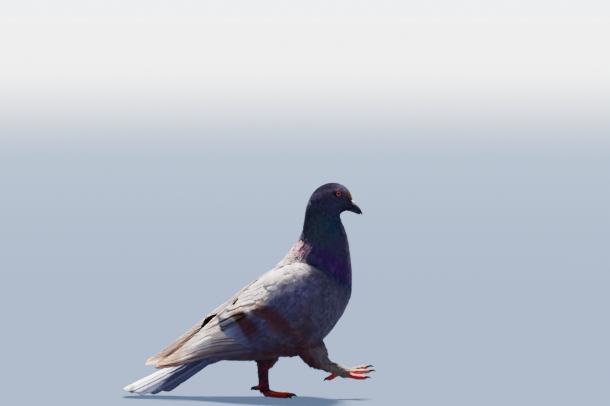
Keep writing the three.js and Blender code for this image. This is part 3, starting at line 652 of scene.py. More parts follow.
class Finish:
    """A material under construction, its sockets fed with values or links. Through is how much light
    the vane lets pass."""

    def __init__(self, name, roughness=0.8, sheen=0.0, coat=0.0, gleam=0.5, through=0.0):
        self.material = bpy.data.materials.new(name)
        self.material.use_nodes = True
        self.tree = self.material.node_tree
        self.surface = self.tree.nodes["Principled BSDF"]
        for socket, value in (("Roughness", roughness), ("Sheen Weight", sheen), ("Sheen Roughness", 0.5),
                              ("Coat Weight", coat), ("Specular IOR Level", gleam),
                              ("Subsurface Weight", through), ("Subsurface Radius", (1.0, 0.75, 0.6)),
                              ("Subsurface Scale", 0.002)):
            self.set(socket, value)

    def node(self, kind, settings=None, inputs=None, output=0):
        made = self.tree.nodes.new(kind)
        for name, value in (settings or {}).items():
            setattr(made, name, value)
        for key, value in (inputs or {}).items():
            self.feed(made.inputs[key], value)
        return Value(self, made.outputs[output])

    def feed(self, socket, value):
        if isinstance(value, Value):
            self.tree.links.new(value.socket, socket)
        else:
            socket.default_value = value

    def set(self, name, value):
        self.feed(self.surface.inputs[name], value)

    def in_mm(self, vector):
        return self.node("ShaderNodeVectorMath", {"operation": "SCALE"}, {0: vector, "Scale": 1 / MM})

    # The place in millimetres.
    def place(self):
        return self.in_mm(self.node("ShaderNodeTexCoord", output=3))

    # The place that a small feather takes its colour from, nearer its root, so it is one feather.
    def feather_place(self):
        root = self.in_mm(self.attribute("root", vector=True))
        settings = {"data_type": "VECTOR"}
        return self.node("ShaderNodeMix", settings, {0: 0.6, 4: self.place(), 5: root}, 1)

    def split(self, vector):
        return [self.node("ShaderNodeSeparateXYZ", None, {0: vector}, output) for output in range(3)]

    def attribute(self, name, vector=False):
        return self.node("ShaderNodeAttribute", {"attribute_name": name}, None, 1 if vector else 2)

    def attributes(self, *names):
        return [self.attribute(name) for name in names]

    def combined(self, x, y, z):
        return self.node("ShaderNodeCombineXYZ", None, {0: x, 1: y, 2: z})

    def distance(self, vector, point):
        return self.node("ShaderNodeVectorMath", {"operation": "DISTANCE"}, {0: vector, 1: point}, 1)

    def noise(self, vector, scale, detail=2.0):
        inputs = {"Vector": vector, "Scale": scale, "Detail": detail}
        return self.node("ShaderNodeTexNoise", None, inputs)

    def stretched(self, vector, scales):
        return self.node("ShaderNodeVectorMath", {"operation": "MULTIPLY"}, {0: vector, 1: scales})

    def mix(self, factor, first, second, blend="MIX"):
        def colour(c):
            return c if isinstance(c, Value) else (*c, 1.0)

        settings = {"data_type": "RGBA", "blend_type": blend, "clamp_factor": True}
        inputs = {0: factor, 6: colour(first), 7: colour(second)}
        return self.node("ShaderNodeMix", settings, inputs, 2)

    # The colour with others laid over it in turn, each as far as its mask goes.
    def layered(self, colour, *layers):
        for mask, over in layers:
            colour = self.mix(mask, colour, over)
        return colour

    # The colour multiplied by a tint, as far as the mask goes.
    def tinted(self, mask, colour, tint):
        return self.mix(mask, colour, self.mix(1.0, colour, tint, "MULTIPLY"))

    # Fine barbs that run out from the shaft to the edge, a little towards the tip.
    def barbs(self, across, along, count, lean):
        return ((along * count - across.absolute() * lean) * (2 * math.pi)).math("SINE")

    def bump(self, height, distance, strength=1.0):
        inputs = {"Height": height, "Distance": distance, "Strength": strength}
        self.set("Normal", self.node("ShaderNodeBump", None, inputs))


# How far places lie from a line of the side view, across it and along it, both in millimetres.
def from_line(x, z, start, end):
    size = math.dist(start, end)
    dx, dz = (end[0] - start[0]) / size, (end[1] - start[1]) / size
    x, z = x - start[0], z - start[1]
    return z * dx - x * dz, x * dx + z * dz, size


# The same across it alone, positive on its left.
def beside(x, z, start, end):
    return from_line(x, z, start, end)[0]


# Colours of the trunk and the folded wings: pale towards the back and top, partly the mantle's own pale
# grey and partly painted sunlight on the upper side; slate below and in front; maroon under the belly,
# painted shade with a warm tint of light from below. Wander moves each edge a little.
def trunk_colours(finish, x, z, wander):
    aside, ahead, _ = from_line(x, z, (-60, 62), (40, 135))
    height = aside + wander * 16
    # pale: partly the mantle's own pale grey, partly painted sunlight on the upper side
    pale = (height + x.step(14, 44) * 8).step(-7, 12)
    colour = finish.mix(height.step(-46, -16), (0.055, 0.032, 0.044), (0.066, 0.046, 0.1))
    colour = finish.mix(pale, colour, (0.52, 0.435, 0.44))
    streak = finish.noise(finish.combined(aside * 0.5, ahead * 0.11, 0.0), 0.6, 3.0).step(0.5, 0.66)
    colour = finish.tinted(streak * pale * x.step(-40, 10), colour, (0.42, 0.38, 0.46))
    frost = finish.noise(finish.combined(aside * 0.7 + 40.0, ahead * 0.2, 0.0), 0.55, 3.0).step(0.5, 0.66)
    low = beside(x, z, (-55, 37), (41, 58)) + wander * 5
    colour = finish.layered(
        colour,
        (frost * height.step(-30, -10) * x.step(-20, 0) * 0.4, (0.2, 0.18, 0.27)),
        ((x + wander * 12).step(42, 60) * 0.8, (0.066, 0.048, 0.088)),
        # painted shade under the belly, with a warm tint of light from below
        (low.step(6, -1) * x.step(72, 56), (0.07, 0.016, 0.017)),
    )
    mottle = finish.noise(finish.combined(x * 0.5 + z * 0.6, z * 0.5 - x * 0.35, 0.0), 0.22, 3.0)
    colour = finish.tinted(mottle.step(0.48, 0.68) * 0.4, colour, (0.5, 0.48, 0.58))
    return finish.tinted(mottle.step(0.5, 0.34) * 0.5, colour, (1.7, 1.65, 1.6)), height


# The shining feathers of the neck, over places up it and in front of its axis: violet and navy at
# its base, teal and dusk above, flecked, rosy and fawn down the nape. Also where it is pale.
def neck_colours(finish, up, front, wander, chance):
    violet, navy, night = (0.06, 0.012, 0.1), (0.016, 0.013, 0.07), (0.05, 0.04, 0.085)
    teal, dusk, slate = (0.012, 0.06, 0.105), (0.045, 0.048, 0.07), (0.034, 0.027, 0.056)
    x, y, z = finish.split(finish.place())
    side_off, down, _ = from_line(x, z, (18, 140), (48, 172))
    strand = finish.noise(finish.combined(side_off, y, down * 0.2), 0.75, 2.0)
    lock, glint = chance.redrawn(17.3), chance.redrawn(7.3)
    bib = (up + front * 0.3).near(40.7, 16, 4) * front.near(-8, 14, 4)
    patch = up.near(13, 9, 3) * front.near(-11, 8, 3)
    flecked = (front + wander * 8).step(-11, -17) * up.step(20, 12)
    rosy = (front + wander * 8).near(-25, 9, 5) * up.near(-2, 13, 8)
    fawn = (up + wander * 10 - front * 0.2).step(6, -2) * (front + up * 0.6).step(-9, -17)
    fawn = fawn.most(front.step(-29, -33) * up.step(20, 12))
    shine = finish.layered(
        finish.mix((up + front * 0.15).step(-3, 5), navy, violet),
        ((up + front * 0.1).step(0, -12) * front.step(-2, 8), slate),
        (up.step(11, 22), night),
        (up.step(14, 24) * front.step(6, -6), dusk),
        (bib.most(patch * 0.5) * lock.step(0.1, 0.7), teal),
        (bib * glint.step(0.6, 0.9) * 0.6, (0.02, 0.022, 0.1)),
        (front.step(-18, -30) * up.step(16, 26) * 0.5, (0.016, 0.015, 0.03)),
        (flecked, finish.mix(strand.step(0.46, 0.6), (0.02, 0.012, 0.03), (0.34, 0.22, 0.27))),
        (rosy, finish.mix(strand.step(0.4, 0.54), (0.1, 0.025, 0.06), (0.7, 0.25, 0.33))),
        (fawn, finish.mix(strand.step(0.4, 0.58), (0.12, 0.085, 0.09), (0.46, 0.4, 0.38))),
        (glint.step(0.75, 0.95) * (1 - fawn) * 0.3, (0.02, 0.04, 0.07)),
    )
    return shine, rosy.most(fawn).most(flecked)


# The head's slate, painted darker on the crown as shade over its top, brown over the bill and a little
# maroon at the gape.
def head_colours(finish, place, wander, chance):
    x, y, z = finish.split(place)
    return finish.layered(
        finish.mix(chance.redrawn(3.7), (0.026, 0.021, 0.046), (0.05, 0.042, 0.082)),
        # painted shade: the crown darker than the rest of the head
        ((z - 0.3 * x + wander * 4).step(198, 206) * 0.92, (0.007, 0.006, 0.012)),
        (finish.distance(place, (84, 0, 203)).step(12, 6) * 0.7, (0.022, 0.007, 0.010)),
        (finish.distance(finish.combined(x, y * 0.3, z), (89, 0, 214)).step(9.5, 4.5) * 0.9,
         (0.062, 0.03, 0.014)),
    )


# The bird's markings at a place in millimetres, with the painted sunlight and shade that the trunk's and
# the crown's colours carry, the same on skin and feathers: colour and the share of gloss from the neck's
# iridescence.
def markings(finish, place, chance):
    x, _, z = finish.split(place)
    wander = finish.noise(place, 0.09, 3.0) - 0.5
    colour, height = trunk_colours(finish, x, z, wander)
    across, up, _ = from_line(x, z, (55, 148), (80, 197.6))
    up, front = up + wander * 9 + (chance - 0.5) * 5, 0 - across
    neck = (up + (front - 4.0).absolute() * 0.22).step(-12, -3)
    shine, pale = neck_colours(finish, up, front, wander, chance)
    head = (up + wander * 6).step(41, 50)
    blotch = finish.noise(place, 0.22, 2.0).step(0.4, 0.6)
    lifted = (0 - beside(x, z, (62, 28), (36, 62)) + wander * 6).step(-5, 5)
    colour = finish.layered(
        colour,
        ((x + wander * 8).step(-20, -44) * height.step(-14, 2), (0.6, 0.59, 0.64)),
        (neck, shine),
        (head, head_colours(finish, place, wander, chance)),
        (z.step(44, 34) * x.step(-22, -12) * x.step(36, 26),
         finish.mix(blotch, (0.045, 0.006, 0.022), (0.15, 0.013, 0.035))),
        (lifted * x.step(38, 46) * z.step(66, 54),
         finish.mix(z.step(42, 34), (0.115, 0.082, 0.086), (0.17, 0.128, 0.1))),
        (x.step(86.5, 89) * z.step(36, 33), (0.42, 0.05, 0.03)),
        (x.step(30, 20) * z.step(7, 4) * x.step(-8, -4), (0.3, 0.03, 0.025)),
    )
    gloss = neck * (1 - head) * (1 - pale) * front.step(-24, -12)
    return colour, gloss


def skin_finish():
    finish = Finish("skin", 0.85)
    even = 0.5 + 0 * finish.attribute("chance")  # as a feather of middling chance
    colour, _ = markings(finish, finish.place(), even)
    finish.set("Base Color", finish.mix(0.5, colour, (0.02, 0.016, 0.018)))
    finish.bump(finish.noise(finish.place(), 1.6), 0.0002, 0.6)
    return finish.material


skin.data.materials.clear()
skin.data.materials.append(skin_finish())
FLESH = ("torso", "neck", "head", "thigh_left", "thigh_right", "shank_left", "shank_right")
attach(skin, "root")
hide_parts(*FLESH)

# ---------------------------------------------------------------------------------------------
# Small feathers: each a soft rounded vane rooted in the skin that lies back over the next ones.
# Geometry Nodes spread the roots evenly, turn each vane to the lie, and bend it to the body.


def vane_shape(name, rows, columns, tip):
    """A flat vane one unit long and wide, with how high each point stands off the skin."""
    verts, rise, along_of, across_of = [], [], [], []
    for along in rows:
        for across in columns:
            half = 0.5 * math.sqrt(max(0.04, 1 - max(0, (along - 0.5) / 0.52) ** 2.4))
            half *= 0.45 + 0.55 * min(1, along / 0.5)
            ragged = tip * (0.5 - (len(verts) % 2)) * (along > 0.6)
            drop = 0.12 * across**2 * along
            verts.append((half * across, along - drop + ragged, 0))
            rise.append(along**0.8 + 0.35 * (1 - across**2) * math.sin(math.pi * min(1, along * 1.1)))
            along_of.append(along)
            across_of.append(across)
    width = len(columns)
    faces = [(r * width + c, r * width + c + 1, (r + 1) * width + c + 1, (r + 1) * width + c)
             for r in range(len(rows) - 1) for c in range(width - 1)]
    mesh = bpy.data.meshes.new(name)
    mesh.from_pydata(verts, [], faces)
    mesh.shade_smooth()
    for attribute, values in (("rise", rise), ("along", along_of), ("across", across_of)):
        write(mesh, attribute, np.array(values))
    return linked(name, mesh)


def plumage_tree():
    tree = bpy.data.node_groups.new("plumage", "GeometryNodeTree")
    sockets = (("Skin", "Geometry"), ("Vane", "Object"), ("Cover", "String"), ("Spacing", "Float"),
               ("Width", "Float"), ("Lift", "Float"), ("Loose", "Float"), ("Seed", "Int"),
               ("Material", "Material"))
    for name, kind in sockets:
        tree.interface.new_socket(name, in_out="INPUT", socket_type="NodeSocket" + kind)
    tree.interface.new_socket("Coat", in_out="OUTPUT", socket_type="NodeSocketGeometry")

    def node(kind, settings=None, inputs=None):
        made = tree.nodes.new(kind)
        for name, value in (settings or {}).items():
            setattr(made, name, value)
        for key, value in (inputs or {}).items():
            if isinstance(value, bpy.types.NodeSocket):
                tree.links.new(value, made.inputs[key])
            else:
                made.inputs[key].default_value = value
        return made

    def named(name, kind):
        return node("GeometryNodeInputNamedAttribute", {"data_type": kind}, {"Name": name}).outputs[0]

    def maths(operation, first, second):
        return node("ShaderNodeMath", {"operation": operation}, {0: first, 1: second}).outputs[0]

    def vectors(operation, first, second, key=1):
        return node("ShaderNodeVectorMath", {"operation": operation}, {0: first, key: second}).outputs[0]

    def random(low, high, seed):
        inputs = {2: low, 3: high, "Seed": maths("ADD", given["Seed"], seed)}
        return node("FunctionNodeRandomValue", {"data_type": "FLOAT"}, inputs).outputs[1]

    given = node("NodeGroupInput").outputs
    cover = named(given["Cover"], "FLOAT")
    spread = node("GeometryNodeDistributePointsOnFaces", {"distribute_method": "POISSON"},
                  {"Mesh": given["Skin"], "Distance Min": given["Spacing"], "Density Max": 4e6,
                   "Density Factor": cover, "Seed": given["Seed"]})
    roots = node("GeometryNodeStoreNamedAttribute", {"data_type": "FLOAT_VECTOR", "domain": "POINT"},
                 {"Geometry": spread.outputs["Points"], "Name": "root",
                  "Value": node("GeometryNodeInputPosition").outputs[0]})
    roots = node("GeometryNodeStoreNamedAttribute", {"data_type": "FLOAT", "domain": "POINT"},
                 {"Geometry": roots.outputs[0], "Name": "chance", "Value": random(0.0, 1.0, 1)})
    grow, lie = named("grow", "FLOAT_VECTOR"), named("lie", "FLOAT_VECTOR")
    facing = node("FunctionNodeAxesToRotation", {"primary_axis": "Z", "secondary_axis": "Y"},
                  {"Primary Axis": grow, "Secondary Axis": lie})
    swing = node("ShaderNodeCombineXYZ", None, {2: random(-0.16, 0.16, 2)})
    turned = node("FunctionNodeRotateRotation", {"rotation_space": "LOCAL"},
                  {0: facing.outputs[0],
                   1: node("FunctionNodeEulerToRotation", None, {0: swing.outputs[0]}).outputs[0]})
    length = maths("MULTIPLY", named("feather_length", "FLOAT"), random(0.85, 1.15, 3))
    wide = maths("MULTIPLY", length, maths("MULTIPLY", given["Width"], random(0.88, 1.12, 4)))
    scale = node("ShaderNodeCombineXYZ", None, {0: wide, 1: length, 2: 1.0})
    scale = vectors("SCALE", scale.outputs[0], MM, "Scale")
    vane = node("GeometryNodeObjectInfo", None, {"Object": given["Vane"]})
    placed = node("GeometryNodeInstanceOnPoints", None,
                  {"Points": roots.outputs[0], "Instance": vane.outputs["Geometry"],
                   "Rotation": turned.outputs[0], "Scale": scale})
    real = node("GeometryNodeRealizeInstances", None, {"Geometry": placed.outputs[0]})
    position = node("GeometryNodeInputPosition").outputs[0]
    near = node("GeometryNodeProximity", {"target_element": "FACES"},
                {0: given["Skin"], "Sample Position": position})
    up = node("GeometryNodeSampleNearestSurface", {"data_type": "FLOAT_VECTOR"},
              {"Mesh": given["Skin"], "Value": grow, "Sample Position": position})
    height = maths("MULTIPLY", named("rise", "FLOAT"), given["Lift"])
    uneven = maths("ADD", 0.4, maths("MULTIPLY", given["Loose"], 1.4))
    uneven = maths("ADD", 0.8, maths("MULTIPLY", named("chance", "FLOAT"), uneven))
    height = maths("MULTIPLY", height, uneven)
    lifted = vectors("SCALE", up.outputs[0], height, "Scale")
    laid = vectors("ADD", near.outputs["Position"], lifted)
    free = vectors("ADD", position, lifted)
    blend = node("ShaderNodeMix", {"data_type": "VECTOR"}, {0: given["Loose"], 4: laid, 5: free})
    moved = node("GeometryNodeSetPosition", None,
                 {"Geometry": real.outputs[0], "Position": blend.outputs[1]})
    finished = node("GeometryNodeSetMaterial", None,
                    {"Geometry": moved.outputs[0], "Material": given["Material"]})
    node("NodeGroupOutput", None, {0: finished.outputs[0]})
    return tree


PLUMAGE = plumage_tree()
PATCH = 0.003  # size of a feather on the unwrap


def unwrap(mesh, flat):
    """The OFBake map, from each point's place on it."""
    loops = np.empty(len(mesh.loops), np.int32)
    mesh.loops.foreach_get("vertex_index", loops)
    layer = mesh.uv_layers.new(name="OFBake")
    layer.data.foreach_set("uv", flat[loops].astype(np.float32).ravel())


def unwrap_coat(mesh):
    """Each feather as a small patch at its root's place on the skin's unwrap."""
    roots = read(mesh.attributes["root"].data, "vector", 3) / MM
    kinds, which = np.unique(np.round(roots, 4), axis=0, return_inverse=True)
    flat = flat_places(kinds)[which.ravel()]
    across, along = (read(mesh.attributes[name].data, "value", 1) for name in ("across", "along"))
    unwrap(mesh, flat + np.stack([across / 2, along - 0.5], axis=1) * PATCH)


def coat(name, cover, vane, spacing, width, lift, seed, material, nodes, slot, loose=0.0):
    """One piece of small feathers over the part of the skin that the cover marks."""
    made = linked(name, skin.data)
    modifier = made.modifiers.new("plumage", "NODES")
    modifier.node_group = PLUMAGE
    values = {"Vane": vane, "Cover": cover, "Spacing": spacing * MM, "Width": width, "Lift": lift * MM,
              "Loose": loose, "Seed": seed, "Material": material}
    for item in PLUMAGE.interface.items_tree:
        if item.in_out == "INPUT" and item.name in values:
            modifier[item.identifier] = values[item.name]
    settled(made)
    unwrap_coat(made.data)
    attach(made, "root")
    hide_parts(*nodes)


SMALL_BARBS = (26, 4)  # barbs along a small feather, and how far they lean towards its tip
BARB_DEPTH = 0.00012


def coat_finish(name, roughness, sheen, gleam, shaft=0.12, fringe=0.4, iridescent=False):
    """Small feathers: each a little lighter or darker than the next, with a pale fringe."""
    finish = Finish(name, roughness, sheen, gleam=gleam)
    chance, along, across = finish.attributes("chance", "along", "across")
    colour, gloss = markings(finish, finish.feather_place(), chance)
    shade = chance.redrawn(11.9) * 0.8 + across.absolute().step(0.16, 0.0) * shaft
    colour = finish.tinted(shade, colour, (0.55, 0.55, 0.58))
    colour = finish.tinted(along.step(0.85, 1.0) * fringe, colour, (1.9, 1.8, 1.7))
    finish.set("Base Color", colour)
    if iridescent:
        finish.set("Metallic", gloss * 0.3)
        finish.set("Roughness", roughness - gloss * (0.3 + 0.2 * chance.redrawn(5.1)))
    finish.bump(finish.barbs(across, along, *SMALL_BARBS), BARB_DEPTH, 0.5)
    return finish.material


FINE_VANE = vane_shape("fine_vane", (0, 0.42, 0.78, 1), (-1, 0, 1), 0.04)
BROAD_VANE = vane_shape("broad_vane", (0, 0.3, 0.58, 0.82, 1), (-1, -0.5, 0, 0.5, 1), 0.035)
neck_silk = coat_finish("neck_silk", 0.85, 0.0, 0.04, fringe=0.3, iridescent=True)
body_down = coat_finish("body_feathers", 0.8, 0.06, 0.25)
head_velvet = coat_finish("head_velvet", 0.9, 0.0, 0.0, fringe=0.2)
# Each coat: cover, vane, spacing in millimetres, width, lift in millimetres, seed, finish.
coat("coat_head", "cover_head", FINE_VANE, 0.8, 0.42, 0.7, 11, head_velvet, ["head"], "neck_coat")
coat("coat_neck", "cover_neck", BROAD_VANE, 1.5, 0.42, 1.5, 12, neck_silk,
     ["neck", "head"], "neck_coat", 0.12)
coat("coat_breast", "cover_breast", BROAD_VANE, 1.6, 0.55, 1.9, 13, body_down,
     ["torso"], "body_coat", 0.25)
coat("coat_belly", "cover_belly", FINE_VANE, 2.0, 0.3, 1.7, 18, body_down, ["torso"], "body_coat", 0.6)
coat("coat_back", "cover_back", BROAD_VANE, 2.2, 0.62, 2.0, 14, body_down, ["torso"], "body_coat", 0.15)
coat("coat_thighs", "cover_thighs", FINE_VANE, 1.5, 0.36, 2.0, 19, body_down,
     ["thigh_left", "thigh_right"], "leg_coat", 0.65)
coat("coat_legs", "cover_legs", FINE_VANE, 1.1, 0.42, 1.3, 15, body_down,
     ["shank_left", "shank_right"], "leg_coat", 0.5)

# ---------------------------------------------------------------------------------------------
# Wings: flight feathers with shaft and vanes in tiers, laid over each other on the folded wing,
# greater and median coverts in rows over them, and small coverts spread over the arm.

# A row's roots and tips each follow a curve of the side view, from its lowest feather to its
# highest: count, widths, lift off the sheet, bluntness of the tip, place of the shaft.
FEATHER_ROWS = {
    "primary": {
        "count": 10, "roots": [(20, 57), (8, 66), (-6, 76)],
        "tips": [(-119, 32.8), (-107, 41), (-90, 56), (-74, 70)],
        "width": (9, 12.5), "lift": 0.7, "bluntness": 0.86, "shaft": -0.45, "rows": 30, "tilt": 0.09,
    },
    "secondary": {
        "count": 13, "roots": [(30, 64), (14, 82), (2, 98), (0, 118)],
        "tips": [(-5, 50), (-20, 57.5), (-35, 65), (-48.5, 72.5), (-54, 83)],
        "width": (13, 17), "lift": 1.7, "bluntness": 0.74, "shaft": -0.15, "rows": 22,
    },
    "tertial": {
        "count": 5, "roots": [(8, 106), (12, 118), (14, 130)],
        "tips": [(-64, 75), (-60, 82), (-49, 91), (-35, 101)],
        "width": (14, 15), "lift": 2.1, "bluntness": 0.5, "shaft": -0.1, "rows": 22,
    },
    "greater_covert": {
        "count": 11, "roots": [(46, 72), (30, 90), (18, 108), (14, 126)],
        "tips": [(24, 57), (12, 73), (-4, 92), (-20, 109)],
        "width": (12, 16), "lift": 2.7, "bluntness": 0.66, "shaft": -0.1, "rows": 16, "settle": 2.2,
    },
    "median_covert": {
        "count": 11, "roots": [(56, 84), (44, 100), (32, 117), (28, 134)],
        "tips": [(38, 66), (27, 84), (12, 103), (-2, 119)],
        "width": (11, 14), "lift": 3.7, "bluntness": 0.62, "shaft": 0.0, "rows": 14, "settle": 3.4,
    },
    "scapular": {
        "count": 5, "roots": [(4, 112), (10, 124), (16, 134)],
        "tips": [(-42, 92), (-32, 104), (-20, 113)],
        "width": (13, 14), "lift": 3.0, "bluntness": 0.6, "shaft": 0.0, "rows": 18, "settle": 2.5,
    },
}
TILT = 0.06  # a vane rises across its width, so that its neighbour slips under it
SETTLE = 1.1  # how much deeper it lies at its root
THIN, CROWN, RIDGE = 0.3, 0.3, 0.14  # a vane's thickness, its arch, and how its shaft stands up
NICKS = (0.03, 0.14)  # depth of the nicks where barbs have parted, as a share of the vane
JOG = 0.8  # how far a tip may lie from its row
COLUMNS = np.array([-1, -0.82, -0.55, -0.28, -0.09, 0, 0.09, 0.28, 0.55, 0.82, 1.0])


# The place on a curve of points at one t.
def spot_on(points, t):
    return spline(points, np.array([t]))[0]


def within(values, low, high, soft=0.07):
    """Values bent back smoothly before they pass a range."""
    low, high = low + soft, high - soft
    values = np.where(values > high, high + soft * np.tanh((values - high) / soft), values)
    return np.where(values < low, low - soft * np.tanh((low - values) / soft), values)


def quill(sheet, root, tip, width, lift, bluntness, shaft, rows, draw, tilt=TILT, ragged=0.0,
          margin=(-0.02, 1.0), settle=SETTLE):
    """One flight feather as a thin closed vane, with its own coordinates along and across."""
    share = np.linspace(0, 1, rows)
    along_row = 0.3 * np.sin(share * np.pi / 2) + 0.7 * share
    left = COLUMNS[COLUMNS < 0] * (1 + shaft) + shaft
    right = COLUMNS[COLUMNS > 0] * (1 - shaft) + shaft
    column = np.concatenate([left, [shaft], right])
    along, across = pairs(along_row, column)
    centre_u, centre_v = lerp(root[0], tip[0], along), lerp(root[1], tip[1], along)
    _, slope_u, slope_v, normal = on_sheet(sheet, centre_u, centre_v)
    ahead = unit(slope_u * (tip[0] - root[0]) + slope_v * (tip[1] - root[1]))
    aside = np.cross(normal, ahead)
    aside = aside * np.where(dot(aside, slope_v) < 0, -1, 1)
    uu, vv, uv = dot(slope_u, slope_u), dot(slope_v, slope_v), dot(slope_u, slope_v)
    det = uu * vv - uv * uv
    du = ((dot(aside, slope_u) * vv - dot(aside, slope_v) * uv) / det)[:, 0]
    dv = ((dot(aside, slope_v) * uu - dot(aside, slope_u) * uv) / det)[:, 0]
    end = np.maximum(0, (along - bluntness) / (1 - bluntness))
    half = width / 2 * smoothstep(along, -0.35, 0.35) * np.sqrt(np.maximum(0.02, 1 - end**2))
    notch = np.ones((2, rows))
    for edge in range(2):
        for _ in range(2):
            notch[edge, draw.integers(rows // 3, rows - 1)] -= draw.uniform(*NICKS)
    for edge, sign in enumerate((-1, 1)):
        outer = np.repeat(notch[edge], len(column))
        half = np.where(across * sign > 0.7, half * outer, half)
    if ragged:
        teeth = np.tile(draw.uniform(-1, 1, len(column)), rows) * smoothstep(along, 0.9, 1.0)
        centre_u = centre_u + teeth * ragged * (tip[0] - root[0])
    reach = half * across
    ridge = RIDGE * np.exp(-(((across - shaft) / 0.07) ** 2)) * (1 - 0.7 * along)
    top = lift - settle * (1 - np.sin(np.minimum(1, along * 1.5) * np.pi / 2)) - tilt * reach
    top = top + CROWN * (1 - across**2) + ridge
    side_v = within(centre_v + dv * reach, *margin)
    upper = on_sheet(sheet, centre_u + du * reach, side_v, top)[0]
    lower = on_sheet(sheet, centre_u + du * reach, side_v, top - THIN)[0]
    wide = len(column)
    r, c = pairs(np.arange(rows - 1), np.arange(wide - 1))
    a = r * wide + c
    top_faces = np.stack([a, a + 1, a + wide + 1, a + wide], axis=1)
    under = len(upper)
    rim = np.concatenate([np.arange(wide), np.arange(1, rows) * wide + wide - 1,
                          (rows - 1) * wide + np.arange(wide - 2, -1, -1),
                          np.arange(rows - 2, 0, -1) * wide])
    around = np.stack([rim, np.roll(rim, -1), np.roll(rim, -1) + under, rim + under], axis=1)
    faces = np.concatenate([top_faces, top_faces[:, ::-1] + under, around[:, ::-1]])
    if sheet[1] * dv.mean() < 0:  # the columns run the other way round the normal
        faces = faces[:, ::-1]
    return {
        "verts": np.concatenate([upper, lower]),
        "faces": faces,
        "along": np.tile(along, 2),
        "across": np.tile(across, 2),
        "shaft": np.full(2 * under, float(shaft)),
        "inner": np.repeat((0.0, 1.0), under),
        "chance": np.full(2 * under, draw.random()),
    }


FEATHER_FLOOR = 0.6  # the lowest that a long feather may reach


def feather_piece(name, feathers, chart, material, nodes):
    """Feathers joined to one piece, each with its own strip on the OFBake map."""
    verts, faces = merged([(f["verts"], f["faces"].tolist()) for f in feathers])
    verts[:, 2] = np.maximum(verts[:, 2], FEATHER_FLOOR)
    made = made_object(name, verts, faces)
    mesh = made.data
    joined = {key: np.concatenate([f[key] for f in feathers])
              for key in ("along", "across", "shaft", "inner", "chance")}
    for key, values in joined.items():
        write(mesh, key, values)
    write(mesh, "chart", chart(verts))
    strip = np.repeat(np.arange(len(feathers)), [len(f["verts"]) for f in feathers]) / len(feathers)
    wide = 0.92 / len(feathers)
    unwrap(mesh, np.stack([strip + (0.52 + 0.48 * joined["across"]) * wide,
                           0.02 + 0.96 * joined["along"]], axis=1))
    mesh.materials.append(material)
    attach(made, "root")
    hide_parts(*nodes)


def wing_feathers(side, names, seed):
    """The feathers of some rows on one folded wing."""
    draw = np.random.default_rng(seed)
    sheet = wing_sheet(side)
    made = []
    for name in names:
        row = FEATHER_ROWS[name]
        for i in range(row["count"]):
            t = i / (row["count"] - 1)
            jog = draw.uniform(-JOG, JOG, 2)
            root = wing_place(*spot_on(row["roots"], t))
            tip = wing_place(*(spot_on(row["tips"], t) + jog))
            made.append(quill(sheet, root, tip, lerp(*row["width"], t) * draw.uniform(0.95, 1.05),
                              row["lift"], row["bluntness"], row["shaft"], row["rows"], draw,
                              row.get("tilt", TILT), settle=row.get("settle", SETTLE)))
    return made


def wing_chart(side):
    """Places of a wing as the resting wing has them, so that both wings are marked alike."""
    def chart(verts):
        loose = smoothstep(verts[:, 0], 10, -105)
        raised = smoothstep(verts[:, 0], 18, -30)
        x = verts[:, 0] + BACK[side] * loose
        z = verts[:, 2] - RISE[side] * raised
        return np.stack([x, verts[:, 1], z], axis=1)

    return chart


# The wing bars: from, to, half width, and how much wider a bar is at its start.
BARS = [((-10, 98.5), (37, 66.5), 6.2, 1.5), ((-34, 92), (-15, 69.5), 7.6, 2)]


def wing_markings(finish, x, y, z, wander, chance):
    """Colours of the folded wing: those of the trunk with two brown bars, their upper ends painted peach
    as sunlight, painted nearly black above a line on the near wing as shade, with a painted streak of
    sunlight above them.
    """
    colour, _ = trunk_colours(finish, x, z, wander)
    bar = None
    for start, end, half, flare in BARS:
        off, far, size = from_line(x, z, start, end)
        off = (off + (chance - 0.5) * 2 + wander * 12).absolute() - far.step(size * 0.6, 0) * flare
        mask = off.step(half + 4.2, half - 3.6) * far.step(-9, 1) * far.step(size + 10, size - 6)
        bar = mask if bar is None else bar.most(mask)
    over = beside(x, z, (-42, 91), (2, 102))
    # painted shade: on the near wing the bars are nearly black above this line
    upper = beside(x, z, (-40, 76), (-10, 97)).step(-1.5, 2.5) * y.step(2, 0)
    # a painted streak of sunlight above the bars
    sunlight_streak = (beside(x, z, (-27, 100.5), (-9, 102.5)) + wander * 6).near(0, 3.0, 1.2) * x.near(-17.5, 11, 6)
    red = finish.mix(upper, (0.068, 0.02, 0.026), (0.009, 0.003, 0.003))
    # the bars' upper ends painted peach as sunlight
    red = finish.mix((over + wander * 5).step(-1.5, 2.5), red, (0.7, 0.42, 0.28))
    return finish.layered(colour, (bar * over.step(7.5, 3.5), red), (sunlight_streak * 0.7, (0.72, 0.36, 0.24)))


def tail_markings(finish, x, z, wander, chance, along, across):
    """Pale tail: white above, then lavender and dark blue painted as shade on its lower side, with dark
    ragged ends. Also where it is painted dark blue.
    """
    # painted shade on the tail's lower side: lavender below the white, dark blue lowest down
    low = (x - 0.82 * z + wander * 8 + across * 2).step(-131, -122)
    lavender = (z - 0.54 * x + wander * 6 + across * 1.5).step(88.5, 84.5)
    end = (along + wander * 0.16 + chance * 0.06).step(0.93, 0.97)
    return finish.layered(
        (0.9, 0.88, 0.88),
        (lavender, (0.5, 0.47, 0.62)),
        (low, finish.mix(chance.redrawn(6.3), (0.026, 0.024, 0.068), (0.105, 0.1, 0.2))),
        (end * (wander * 3 + across * 0.4).step(-0.3, 0.2) * 0.9, (0.06, 0.05, 0.05)),
    ), low


